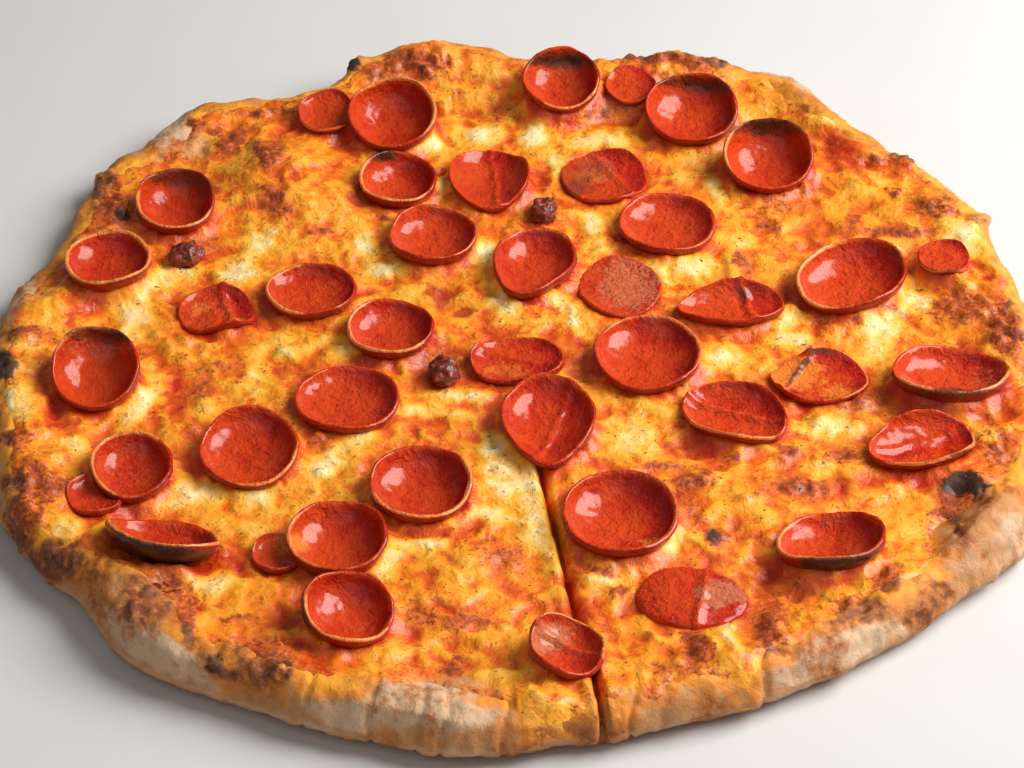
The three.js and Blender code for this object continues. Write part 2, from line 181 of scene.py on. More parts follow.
def melted(points: np.ndarray) -> np.ndarray:
    """Crests and strings of molten cheese, from about -1 in the hollows to 1 on the crests.

    Args:
        points: places in millimetres, one a row.

    Returns:
        One value for each point.
    """
    push = [4.0 * grain(points, 12, 2, shift) for shift in (81, 83)]
    level = points + np.column_stack([*push, np.zeros(len(points))])
    strings = 0.55 - 2.2 * np.abs(grain(level * [1.0, 0.8, 1.0], 7.5, 2, 87))
    return 0.75 * grain(level, 9, 2, 85) + 0.55 * strings


def smoothed(values: np.ndarray, width: float, axis: int, wraps: bool) -> np.ndarray:
    """Values blurred along one axis.

    Args:
        values: an array of any shape.
        width: spread of the blur, in steps.
        axis: the axis it runs along.
        wraps: whether that axis closes on itself.

    Returns:
        An array of the same shape.
    """
    reach = max(1, int(3 * width))
    weights = np.exp(-0.5 * (np.arange(-reach, reach + 1) / width) ** 2)
    weights /= weights.sum()
    pad = [(0, 0)] * values.ndim
    pad[axis] = (reach, reach)
    padded = np.pad(values, pad, mode="wrap" if wraps else "edge")
    total = np.zeros_like(values, float)
    for step, weight in enumerate(weights):
        part = np.take(padded, range(step, step + values.shape[axis]), axis=axis)
        total += weight * part
    return total


def evened(values: np.ndarray, width: float) -> np.ndarray:
    """The values of a grid blurred both ways, the width given in steps."""
    return smoothed(smoothed(values, width, 0, False), width, 1, False)


def steadied(values: np.ndarray, reach: int) -> np.ndarray:
    """The middle value of each neighbourhood round a closed last axis, which drops stray readings."""
    turned = [np.roll(values, step, axis=-1) for step in range(-reach, reach + 1)]
    return np.nanmedian(turned, axis=0)


# ---------------------------------------------------------------- meshes


class Surface:
    """A closed shape that rays are cast on, in millimetres."""

    def __init__(self, objects: Sequence[bpy.types.Object]) -> None:
        """Gathers the faces of the given objects.

        Args:
            objects: what the rays can meet.
        """
        points: list[list[float]] = []
        faces: list[list[int]] = []
        for item in objects:
            first = len(points)
            points += read_points(item).tolist()
            faces += [[first + v for v in face.vertices] for face in item.data.polygons]
        self.tree = BVHTree.FromPolygons(points, faces)

    def reach(self, starts: np.ndarray, ways: np.ndarray) -> np.ndarray:
        """Distance from each start to the surface along each way, or nan where nothing is met.

        Args:
            starts: where the rays start, in millimetres.
            ways: unit vectors, one for each start.

        Returns:
            One distance for each ray.
        """
        found = np.full(len(starts), np.nan)
        for i, (start, way) in enumerate(zip(starts.tolist(), ways.tolist())):
            distance = self.tree.ray_cast(start, way)[3]
            if distance is not None:
                found[i] = distance
        return found

    def top(self, places: np.ndarray, start: float = 90.0) -> np.ndarray:
        """Height of the surface seen from above each place."""
        starts = np.column_stack([places, np.full(len(places), start)])
        return start - self.reach(starts, np.tile([0.0, 0.0, -1.0], (len(places), 1)))

    def underside(self, places: np.ndarray, start: float = -5.0) -> np.ndarray:
        """Height of the surface seen from below each place."""
        starts = np.column_stack([places, np.full(len(places), start)])
        return start + self.reach(starts, np.tile([0.0, 0.0, 1.0], (len(places), 1)))


def read_where(
    measure: Callable[[np.ndarray], np.ndarray], places: np.ndarray, wanted: np.ndarray
) -> np.ndarray:
    """What a measure finds at the wanted places, and nan at the others.

    Args:
        measure: turns places into readings.
        places: x and y, one place a row.
        wanted: which of the places are read.

    Returns:
        One reading for each place.
    """
    found = np.full(len(places), np.nan)
    found[wanted] = measure(places[wanted])
    return found


def read_rows(store: bpy.types.bpy_prop_collection, key: str, width: int = 3) -> np.ndarray:
    """The numbers that the elements of a collection hold under a key, one element a row.

    Args:
        store: the collection.
        key: the property's name.
        width: how many numbers it has.

    Returns:
        An array with a row for each element.
    """
    flat = np.empty(len(store) * width)
    store.foreach_get(key, flat)
    return flat.reshape(-1, width)


def read_points(item: bpy.types.Object) -> np.ndarray:
    """The vertices of an object in millimetres."""
    return read_rows(item.data.vertices, "co") / MM


def write_points(item: bpy.types.Object, points: np.ndarray) -> None:
    """Moves the vertices of an object to the given places in millimetres."""
    item.data.vertices.foreach_set("co", (points * MM).ravel())
    item.data.update()


def read_normals(item: bpy.types.Object) -> np.ndarray:
    """The direction in which each vertex of an object faces."""
    return read_rows(item.data.vertices, "normal")


def write_tint(item: bpy.types.Object, name: str, channels: Sequence[np.ndarray]) -> None:
    """Stores up to four values from 0 to 1 at each vertex as one colour attribute.

    Args:
        item: the object.
        name: the attribute's name.
        channels: one to four arrays, a value for each vertex.
    """
    rows = np.zeros((len(item.data.vertices), 4))
    rows[:, : len(channels)] = np.column_stack(channels)
    tint = item.data.color_attributes.new(name, "FLOAT_COLOR", "POINT")
    tint.data.foreach_set("color", np.clip(rows, 0, 1).ravel())


def pick(item: bpy.types.Object) -> None:
    """Selects one object alone and makes it the active one.

    Args:
        item: the object to select.
    """
    bpy.ops.object.select_all(action="DESELECT")
    bpy.context.view_layer.objects.active = item
    item.select_set(True)


@contextmanager
def editing(item: bpy.types.Object) -> Iterator[None]:
    """Edit mode on one object alone.

    Args:
        item: the object to edit.

    Returns:
        A context that ends in object mode.
    """
    pick(item)
    bpy.ops.object.mode_set(mode="EDIT")
    yield
    bpy.ops.object.mode_set(mode="OBJECT")


def add_sheet(name: str, columns: int, rows: int) -> tuple[bpy.types.Object, np.ndarray]:
    """A flat grid to be shaped.

    Args:
        name: the new object's name.
        columns: points along X.
        rows: points along Y.

    Returns:
        The object, and the column and row of each of its vertices.
    """
    bpy.ops.object.select_all(action="DESELECT")
    bpy.ops.mesh.primitive_grid_add(x_subdivisions=columns - 1, y_subdivisions=rows - 1, size=2)
    item = bpy.context.active_object
    item.name = name
    item.data.name = name
    share = (read_points(item)[:, :2] * MM + 1) / 2
    return item, np.rint(share * [columns - 1, rows - 1]).astype(int)


def finish_piece(item: bpy.types.Object, material: bpy.types.Material, slot: str, *nodes: str) -> None:
    """Dresses a piece, ties it to the body and puts it in the place of its CAD nodes.

    Args:
        item: the piece.
        material: what it is dressed in.
        slot: not used.
        nodes: the CAD nodes that it replaces.
    """
    item.data.materials.clear()
    item.data.materials.append(material)
    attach(item, BODY)
    if nodes:
        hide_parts(*nodes)
    item.data.calc_loop_triangles()
    log.info("%s: %d triangles", item.name, len(item.data.loop_triangles))


# ---------------------------------------------------------------- shader building


class Value:
    """A number or a socket, with arithmetic that adds Math nodes."""

    def __init__(self, board: "Board", source: object) -> None:
        """Wraps a socket or a plain number."""
        self.board = board
        self.source = source

    def _math(self, operation: str, *others: object) -> "Value":
        """One Math node over this value and the others."""
        node = self.board.add("ShaderNodeMath", {"operation": operation}, dict(enumerate((self, *others))))
        return Value(self.board, node.outputs[0])

    def __add__(self, other: object) -> "Value":
        """Sum."""
        return self._math("ADD", other)

    __radd__ = __add__

    def __sub__(self, other: object) -> "Value":
        """Difference."""
        return self._math("SUBTRACT", other)

    def __rsub__(self, other: object) -> "Value":
        """Difference the other way round."""
        return Value(self.board, other)._math("SUBTRACT", self)

    def __mul__(self, other: object) -> "Value":
        """Product."""
        return self._math("MULTIPLY", other)

    __rmul__ = __mul__

    def swing(self, strength: float) -> "Value":
        """A noise that goes about 0 instead of about 0.5, times a strength."""
        return (self - 0.5) * strength

    def rise(self, low: float, high: float) -> "Value":
        """A smooth rise from 0 where the value is low to 1 where it is high.

        Args:
            low: where the rise starts.
            high: where it ends.

        Returns:
            The risen value.
        """
        node = self.board.add(
            "ShaderNodeMapRange",
            {"interpolation_type": "SMOOTHSTEP"},
            {"Value": self, "From Min": low, "From Max": high},
        )
        return Value(self.board, node.outputs["Result"])


class Board:
    """The node tree of one material."""

    def __init__(self, name: str) -> None:
        """Starts a material with a Principled shader.

        Args:
            name: the material's name.
        """
        self.material = bpy.data.materials.new(name)
        self.material.use_nodes = True
        self.tree = self.material.node_tree
        self.shader = self.tree.nodes["Principled BSDF"]
        self.place = self.add("ShaderNodeTexCoord").outputs["Object"]

    def plug(self, socket: bpy.types.NodeSocket, item: object) -> None:
        """Links or sets one input.

        Args:
            socket: the input.
            item: a value, a socket, a number or a colour.
        """
        source = item.source if isinstance(item, Value) else item
        if isinstance(source, bpy.types.NodeSocket):
            self.tree.links.new(source, socket)
        else:
            socket.default_value = source

    def add(self, kind: str, settings: dict | None = None, inputs: dict | None = None) -> bpy.types.Node:
        """Adds a node.

        Args:
            kind: its type.
            settings: its own settings, which are set first.
            inputs: a value or a link for each input, by name or number.

        Returns:
            The node.
        """
        node = self.tree.nodes.new(kind)
        for name, value in (settings or {}).items():
            setattr(node, name, value)
        for name, item in (inputs or {}).items():
            self.plug(node.inputs[name], item)
        return node

    def noise(self, size: float, detail: float = 2.0, rough: float = 0.5, warp: float = 0.0) -> Value:
        """Noise from 0 to 1 that changes over the given size in millimetres.

        Args:
            size: distance over which it changes.
            detail: how many finer layers it has.
            rough: how strong the finer layers are.
            warp: how far it is pushed about by itself.

        Returns:
            The noise.
        """
        node = self.add(
            "ShaderNodeTexNoise",
            None,
            {
                "Vector": self.place,
                "Scale": 1 / (size * MM),
                "Detail": detail,
                "Roughness": rough,
                "Distortion": warp,
            },
        )
        return Value(self, node.outputs[0])

    def tint(self, name: str) -> list[Value]:
        """The four values of a colour attribute.

        Args:
            name: the attribute's name.

        Returns:
            The values in the order in which they were stored.
        """
        node = self.add("ShaderNodeAttribute", {"attribute_name": name})
        parts = self.add("ShaderNodeSeparateColor", None, {"Color": node.outputs["Color"]})
        return [Value(self, parts.outputs[i]) for i in range(3)] + [Value(self, node.outputs["Alpha"])]

    def blend(self, first: object, second: object, share: object) -> bpy.types.NodeSocket:
        """The first colour turning into the second by the share.

        Args:
            first: a colour or a link to one.
            second: a colour or a link to one.
            share: how much of the second shows.

        Returns:
            The blended colour.
        """
        ends = [(*item, 1.0) if isinstance(item, tuple) else item for item in (first, second)]
        node = self.add("ShaderNodeMix", {"data_type": "RGBA"}, {0: share, 6: ends[0], 7: ends[1]})
        return node.outputs[2]

    def paint(self, base: object, coats: Sequence[tuple[object, object]]) -> bpy.types.NodeSocket:
        """A base colour with coats over it, each a colour and its share.

        Args:
            base: a colour or a link to one.
            coats: colours and shares, the lowest coat first.

        Returns:
            The painted colour.
        """
        colour = base
        for coat, share in coats:
            colour = self.blend(colour, coat, share)
        return colour

    def close(
        self, colour: object, rough: object, height: Value, depth: float, **fixed: float
    ) -> bpy.types.Material:
        """Joins colour, roughness and relief to the shader.

        Args:
            colour: base colour.
            rough: roughness.
            height: relief from 0 to 1.
            depth: what a relief of 1 is, in millimetres.
            fixed: the shader's own inputs that are the same all over, with _ for a space.

        Returns:
            The finished material.
        """
        relief = {"Strength": 1.0, "Distance": depth * MM, "Height": height}
        bump = self.add("ShaderNodeBump", None, relief)
        self.plug(self.shader.inputs["Base Color"], colour)
        self.plug(self.shader.inputs["Roughness"], rough)
        self.plug(self.shader.inputs["Normal"], bump.outputs["Normal"])
        for name, value in fixed.items():
            self.plug(self.shader.inputs[name.replace("_", " ")], value)
        return self.material


# ---------------------------------------------------------------- finishes

Colour = tuple[float, float, float]


@dataclass(frozen=True)
class CheeseFinish:
    """Molten cheese: oil in the hollows, oil and painted shadow round the slices, gold on the slopes, cream
    on the crests, and browned places.
    """

    blood: Colour = (0.48, 0.028, 0.005)
    oil: Colour = (0.62, 0.085, 0.007)
    orange: Colour = (0.77, 0.17, 0.009)
    gold: Colour = (0.86, 0.31, 0.016)
    yellow: Colour = (0.90, 0.43, 0.042)
    cream: Colour = (0.90, 0.555, 0.16)
    white: Colour = (0.89, 0.70, 0.34)
    sauce: Colour = (0.36, 0.016, 0.004)
    spot: Colour = (0.42, 0.075, 0.010)
    speck: Colour = (0.16, 0.040, 0.009)
    amber: Colour = (0.62, 0.135, 0.013)
    toast: Colour = (0.40, 0.060, 0.013)
    dark: Colour = (0.16, 0.029, 0.011)
    char: Colour = (0.030, 0.023, 0.022)
    crust: Colour = (0.57, 0.27, 0.095)
    broad: float = 14.0
    middle: float = 4.0
    fine: float = 1.8
    tiny: float = 0.8
    relief: float = 1.3
    shine: float = 0.35
    film: float = 0.22
    film_rough: float = 0.2

    def material(self) -> bpy.types.Material:
        """Builds the material.

        Returns:
            The finished material.
        """
        board = Board("melted_cheese")
        # The oil tint holds real oil and also painted shadow round the slices.
        pale, oil, toast, char = board.tint("tint_a")
        yellow, sauce, melt, crust = board.tint("tint_b")
        broad = board.noise(self.broad, 2, 0.5, 0.3)
        middle = board.noise(self.middle, 3, 0.5, 0.5)
        fine = board.noise(self.fine, 2, 0.55, 0.2)
        tiny = board.noise(self.tiny, 2, 0.6)
        crisp = fine.swing(1.5) + tiny.swing(0.8)
        busy = 0.32 + broad.rise(0.35, 0.65) * 0.85
        fray = (middle.swing(1.1) + fine.swing(0.45)) * busy
        level = melt * 0.68 + fray * 0.85 + yellow * 0.24 + pale * 0.64 - oil * 0.40 + 0.04
        burn = toast * 1.02 + fray * (0.5 + toast * 1.5) + crisp * toast * 1.3
        speck = (tiny * 0.5 + fine * 0.65 + toast * 0.10 + broad * 0.12).rise(0.74, 0.83)
        spot = (fine * 0.75 + middle * 0.35 + toast * 0.1).rise(0.63, 0.73)
        colour = board.paint(
            self.blood,
            [
                (self.oil, level.rise(-0.05, 0.20)),
                (self.orange, level.rise(0.18, 0.42)),
                (self.gold, level.rise(0.36, 0.56)),
                (self.yellow, level.rise(0.54, 0.76)),
                (self.cream, level.rise(0.76, 0.98)),
                (self.white, level.rise(0.96, 1.22)),
                (self.sauce, (sauce + fray * 1.8).rise(0.35, 1.1) * 0.85),
                (self.crust, (crust + fray * 0.9).rise(0.2, 0.9)),
                (self.amber, burn.rise(0.16, 0.50) * 0.8),
                (self.toast, burn.rise(0.48, 0.80) * 0.9),
                (self.dark, burn.rise(0.95, 1.25) * 0.85),
                (self.spot, spot * 0.55),
                (self.speck, speck * 0.6),
                (self.char, (char + fray).rise(0.40, 0.85) * 0.9),
            ],
        )
        rough = 0.38 + fine * 0.18 + toast * 0.12 + crust * 0.25 + char * 0.2 - oil * 0.12
        height = middle * 0.8 + fine * 0.2 + tiny * 0.03
        return board.close(
            colour,
            rough,
            height,
            self.relief,
            Specular_IOR_Level=self.shine,
            Coat_Weight=self.film,
            Coat_Roughness=self.film_rough,
        )


@dataclass(frozen=True)
class CrustFinish:
    """Baked dough: tan and floury, browned and charred by the vertex tints."""

    tan: Colour = (0.50, 0.25, 0.10)
    warm: Colour = (0.44, 0.155, 0.04)
    flour: Colour = (0.61, 0.43, 0.28)
    gold: Colour = (0.72, 0.235, 0.020)
    yellow: Colour = (0.88, 0.38, 0.030)
    amber: Colour = (0.45, 0.13, 0.020)
    brown: Colour = (0.20, 0.060, 0.024)
    dark: Colour = (0.07, 0.025, 0.013)
    char: Colour = (0.030, 0.024, 0.023)
    broad: float = 12.0
    middle: float = 4.5
    fine: float = 1.8
    tiny: float = 0.7
    relief: float = 1.0
    shine: float = 0.3

    def material(self) -> bpy.types.Material:
        """Builds the material.

        Returns:
            The finished material.
        """
        board = Board("baked_crust")
        brown, char, flour, stain = board.tint("tint_a")
        broad = board.noise(self.broad, 3, 0.6, 0.4)
        middle = board.noise(self.middle, 4, 0.6, 0.4)
        fine = board.noise(self.fine, 3, 0.65)
        tiny = board.noise(self.tiny, 2, 0.6)
        breakup = middle.swing(1.2) + fine.swing(0.7)
        base = board.blend(self.tan, self.warm, (broad * 0.9 + middle * 0.4).rise(0.45, 0.95))
        burn = brown + breakup * (0.4 + brown * 1.4)
        colour = board.paint(
            base,
            [
                (self.flour, (flour + breakup * 0.8 + broad.swing(0.7)).rise(0.15, 0.95) * 0.9),
                (self.gold, (stain + breakup * 0.9).rise(0.20, 0.80) * 0.92),
                (self.yellow, (stain + breakup * 0.5).rise(0.70, 1.05) * 0.85),
                (self.amber, burn.rise(0.2, 0.6) * 0.8),
                (self.brown, burn.rise(0.5, 0.95) * 0.9),
                (self.dark, burn.rise(0.95, 1.4) * 0.8),
                (self.char, (char + breakup * 0.8).rise(0.4, 0.9) * 0.95),
            ],
        )
        rough = 0.66 + fine * 0.25 - stain * 0.22
        height = middle * 0.55 + fine * 0.30 + tiny * 0.12
        return board.close(colour, rough, height, self.relief, Specular_IOR_Level=self.shine)


@dataclass(frozen=True)
class PepperoniFinish:
    """Oily cured sausage with flecks of fat, a pale baked edge and dark burnt places, with painted shade
    darkening the walls away from the light.
    """

    deep: Colour = (0.27, 0.005, 0.002)
    red: Colour = (0.45, 0.013, 0.004)
    bright: Colour = (0.57, 0.050, 0.006)
    amber: Colour = (0.78, 0.22, 0.025)
    fat: Colour = (0.62, 0.12, 0.035)
    edge: Colour = (0.82, 0.27, 0.07)
    pink: Colour = (0.52, 0.16, 0.075)
    under: Colour = (0.33, 0.020, 0.004)
    singed: Colour = (0.20, 0.035, 0.012)
    char: Colour = (0.040, 0.014, 0.008)
    broad: float = 7.0
    middle: float = 2.8
    fine: float = 1.2
    tiny: float = 0.55
    relief: float = 1.6
    shine: float = 0.06
    film: float = 0.62
    film_rough: float = 0.18

    def material(self) -> bpy.types.Material:
        """Builds the material.

        Returns:
            The finished material.
        """
        board = Board("pepperoni")
        edge, under, char, pink = board.tint("tint_a")
        # The shade channel carries painted shade from the walls and creases of the slices.
        shade, amber, *_ = board.tint("tint_b")
        broad = board.noise(self.broad, 2, 0.5, 0.6)
        middle = board.noise(self.middle, 3, 0.6, 0.6)
        fine = board.noise(self.fine, 3, 0.65)
        tiny = board.noise(self.tiny, 2, 0.6)
        fray = middle.swing(0.7) + fine.swing(0.7)
        # The tone is the meat's random tone plus painted shade: deep red where painted shaded, bright where
        # painted lit.
        tone = shade + broad.swing(0.9) + middle.swing(0.35)
        base = board.blend(self.red, self.bright, tone.rise(0.30, 0.90))
        flecks = (tiny * 0.4 + fine * 0.75).rise(0.62, 0.76)
        scorch = char + fray * (0.2 + char * 0.9)
        colour = board.paint(
            base,
            [
                (self.deep, (1 - tone).rise(0.50, 1.05) * 0.9),
                (self.amber, (amber + fray * 1.2).rise(0.2, 0.9) * 0.85),
                (self.fat, flecks * 0.30),
                (self.pink, (pink * 0.8 + fine.swing(1.6) + tiny.swing(1.0)).rise(0.30, 0.80) * 0.85),
                (self.under, (under + fray * 0.5).rise(0.35, 0.8) * 0.95),
                (self.edge, (edge + fray * 0.2).rise(0.50, 0.85) * 0.9),
                (self.singed, scorch.rise(0.15, 0.55) * 0.9),
                (self.char, scorch.rise(0.50, 1.0) * 0.9),
            ],
        )
        rough = 0.38 + fine * 0.25 + pink * 0.15 + char * 0.2
        height = broad * 0.60 + middle * 0.95 + fine * 0.30 + tiny * 0.04
        return board.close(
            colour,
            rough,
            height,
            self.relief,
            Specular_IOR_Level=self.shine,
            Coat_Weight=self.film,
            Coat_Roughness=self.film_rough,
        )


@dataclass(frozen=True)
class CrumbFinish:
    """A nugget of browned meat."""

    meat: Colour = (0.25, 0.026, 0.011)
    light: Colour = (0.44, 0.10, 0.045)
    dark: Colour = (0.065, 0.009, 0.006)
    fine: float = 2.0
    tiny: float = 0.8
    relief: float = 0.6
    film: float = 0.2

    def material(self) -> bpy.types.Material:
        """Builds the material.

        Returns:
            The finished material.
        """
        board = Board("browned_meat")
        fine = board.noise(self.fine, 3, 0.6)
        tiny = board.noise(self.tiny, 2, 0.6)
        mixed = board.blend(self.dark, self.meat, fine.rise(0.35, 0.6))
        colour = board.blend(mixed, self.light, (tiny * 0.6 + fine * 0.5).rise(0.62, 0.8) * 0.7)
        height = fine * 0.6 + tiny * 0.4
        return board.close(colour, 0.35 + fine * 0.2, height, self.relief, Coat_Weight=self.film)


@dataclass(frozen=True)
class HerbFinish:
    """Dried herbs baked dark green and brown."""

    green: Colour = (0.16, 0.105, 0.020)
    brown: Colour = (0.18, 0.052, 0.012)
    broad: float = 5.0
    tiny: float = 0.6
    relief: float = 0.1
    shine: float = 0.3

    def material(self) -> bpy.types.Material:
        """Builds the material.

        Returns:
            The finished material.
        """
        board = Board("dried_herbs")
        broad = board.noise(self.broad, 1)
        colour = board.blend(self.green, self.brown, broad.rise(0.4, 0.6))
        height = board.noise(self.tiny, 1)
        return board.close(colour, 0.6 + broad * 0.2, height, self.relief, Specular_IOR_Level=self.shine)


# ---------------------------------------------------------------- places read off the pizza
# Unless it says otherwise, each row is x, y, half width, half depth, turn in degrees and strength.

# Cream crests of cheese.
PALE = [
    (-90, 62, 4, 8, -15), (-97, 45, 7, 5, 30), (-119, 45, 6, 13, -35), (-129, 20, 6, 13, 15),
    (-32, 118, 5, 4), (-15, 125, 7, 5), (-27, 93, 3, 5), (-12, 54, 3.5, 7), (-46, 45, 6, 3),
    (-54, 60, 3, 9), (-6, 28, 4, 12, 20), (-60, 4, 9, 5, -10, 0.7), (-78, 4, 8, 8, 0, 0.6),
    (-86, -12, 4, 12, 5, 0.8), (-165, 5, 6, 4, 0, 0.7), (5, 124, 5, 7), (28, 122, 12, 5, 0, 0.9),
    (13, 106, 3, 9), (69, 92, 2.2, 10, 10), (60, 47, 10, 6, 20), (49, 42, 3, 9, 15), (16, 22, 3, 14, 25),
    (90, 17, 5, 9, 20), (91, 7, 7, 4), (118, 10, 6, 12, -15), (134, 30, 5, 7), (154, 63, 8, 10),
    (113, 136, 6, 5), (25, 72, 4, 5), (27, 60, 5, 5, 0, 0.8), (-165, -25, 5, 9), (-124, -25, 4, 12, -20),
    (-100, -68, 10, 5), (-82, -70, 6, 7), (-59, -52, 5, 12, -25), (-8, -45, 4, 8), (-6, -60, 5, 12),
    (-8, -78, 6, 4), (-33, -29, 13, 3, -8), (-20, -21, 8, 3), (-31, -92, 9, 3), (-41, -103, 4, 5),
    (-93, -109, 7, 4, 0, 0.7), (-141, -85, 4, 7, 0, 0.6), (36, -41, 7, 9), (99, -37, 9, 5),
    (95, -56, 6, 4, 0, 0.8), (48, -89, 6, 5), (3, -66, 5, 16, 10), (6, -86, 5, 10, 0, 0.7),
    (61, -128, 1.8, 9, 25), (25, -108, 6, 4, 0, 0.5), (-110, -75, 5, 3, 0, 0.7), (-50, -40, 4, 6, 0, 0.7),
    (66, 0, 8, 6, 0, 0.6), (-145, -45, 6, 3, 0, 0.5), (75, 62, 6, 4, 0, 0.6), (150, -40, 4, 5, 0, 0.8),
    (-82, -88, 4, 9, 0, 0.5),
]  # fmt: skip
# Smooth yellow cheese.
YELLOW = [
    (-72, 88, 10, 16), (-100, 108, 5, 8, 0, 0.5), (-20, 160, 13, 13), (-124, 120, 5, 11, 0, 0.6),
    (-158, 26, 6, 11), (-112, 0, 9, 7), (-60, 140, 8, 4), (-85, 62, 10, 8, 0, 0.7), (60, 106, 10, 8),
    (73, 80, 4, 12), (68, -4, 11, 9), (124, 92, 14, 9), (110, 150, 9, 6, -30), (92, 148, 13, 9, -30),
    (33, 165, 4, 12), (150, 47, 6, 14), (40, -27, 12, 10), (115, -82, 8, 14), (10, -108, 5, 14),
    (65, -140, 6, 11, 10), (80, -128, 9, 6), (102, -111, 10, 6), (12, -156, 13, 6), (60, -62, 7, 5),
    (73, -76, 6, 6), (-20, -105, 11, 10), (-145, -86, 6, 8), (-58, -151, 9, 6), (-30, -138, 13, 4),
    (-5, -152, 7, 9), (-100, -28, 9, 6), (-60, 72, 7, 7, 0, 0.7), (-96, -85, 8, 8, 0, 0.7),
    (-90, -118, 5, 8), (120, 20, 8, 6, 0, 0.6), (-38, 30, 6, 6, 0, 0.6), (5, 15, 6, 8, 0, 0.5),
    (128, -92, 5, 8, 0, 0.7), (160, -5, 4, 9, 0, 0.8), (-8, -132, 8, 5, 0, 0.5), (-120, -3, 6, 8, 0, 0.8),
    (-75, 20, 8, 5, 0, 0.6),
]  # fmt: skip
# Pools of orange oil.
OIL = [
    (-130, 110, 10, 6, 45, 0.6), (-10, -15, 11, 6, 0, 0.8), (-148, 28, 6, 9), (-62, 120, 5, 12, 10),
    (-150, -20, 5, 14, 15), (-128, -76, 14, 6, -15), (-65, -139, 12, 5, -45), (-90, -98, 14, 5, -10, 0.7),
    (-30, -86, 12, 4), (70, 14, 13, 6, 0, 0.8), (92, 33, 5, 8), (123, -62, 12, 4), (60, -45, 7, 7),
    (20, -124, 10, 8, 0, 0.6), (112, -20, 10, 5, 0, 0.7), (82, -108, 14, 6), (0, 125, 5, 5, 0, 0.4),
    (20, 130, 12, 6, 0, 0.8), (-5, 5, 12, 8, 0, 0.6), (-10, -10, 8, 8, 0, 0.8), (15, 5, 7, 9, 0, 0.7),
    (100, 15, 6, 6, 0, 0.7), (-70, -10, 5, 8, 0, 0.6), (-113, -20, 6, 14, 10, 0.7),
    (-44, -42, 5, 5, 0, 0.6), (-62, -41, 5, 6), (115, 118, 7, 8), (128, 106, 12, 5),
    (150, 52, 7, 6, 0, 0.6), (40, 160, 8, 7, 0, 0.8), (-30, 140, 3, 14, 0, 0.5), (85, 62, 9, 8, 0, 0.4),
    (135, -5, 8, 4, 0, 0.6), (-35, 75, 5, 14, 10, 0.4), (-112, 58, 12, 8, 0, 0.6),
    (-60, -20, 22, 20, 0, 0.3), (55, -75, 5, 14, 0, 0.6), (40, -100, 8, 5, 0, 0.5),
    (16, -95, 3, 20, 5, 0.6), (100, -68, 14, 5, 0, 0.4),
]  # fmt: skip
# Where the red sauce shows.
SAUCE = [
    (-25, -4, 11, 9), (-6, -17, 8, 4, 0, 0.7), (-10, 4, 8, 3, 0, 0.7), (10, -22, 5, 6, 0, 0.6),
    (63, 12, 9, 3, 0, 0.6), (-68, 126, 9, 4, 0, 0.7), (-67, 135, 6, 8), (-57, 86, 5, 7, 45),
    (-28, 31, 4, 8, 20), (-18, 22, 4, 4), (-73, -98, 4.5, 9), (85, -115, 6, 5), (-77, -136, 5, 3),
    (-25, -10, 6, 8), (-150, -25, 3, 10, 15, 0.8), (113, 120, 5, 6), (90, 33, 3, 5),
    (-62, -100, 5, 4, 0, 0.8), (120, 108, 8, 3, -25, 0.8), (45, 160, 9, 5, 10, 0.8),
    (-133, -68, 5, 6, 40, 0.7), (-49, 82, 8, 3, -15, 0.8),
]  # fmt: skip
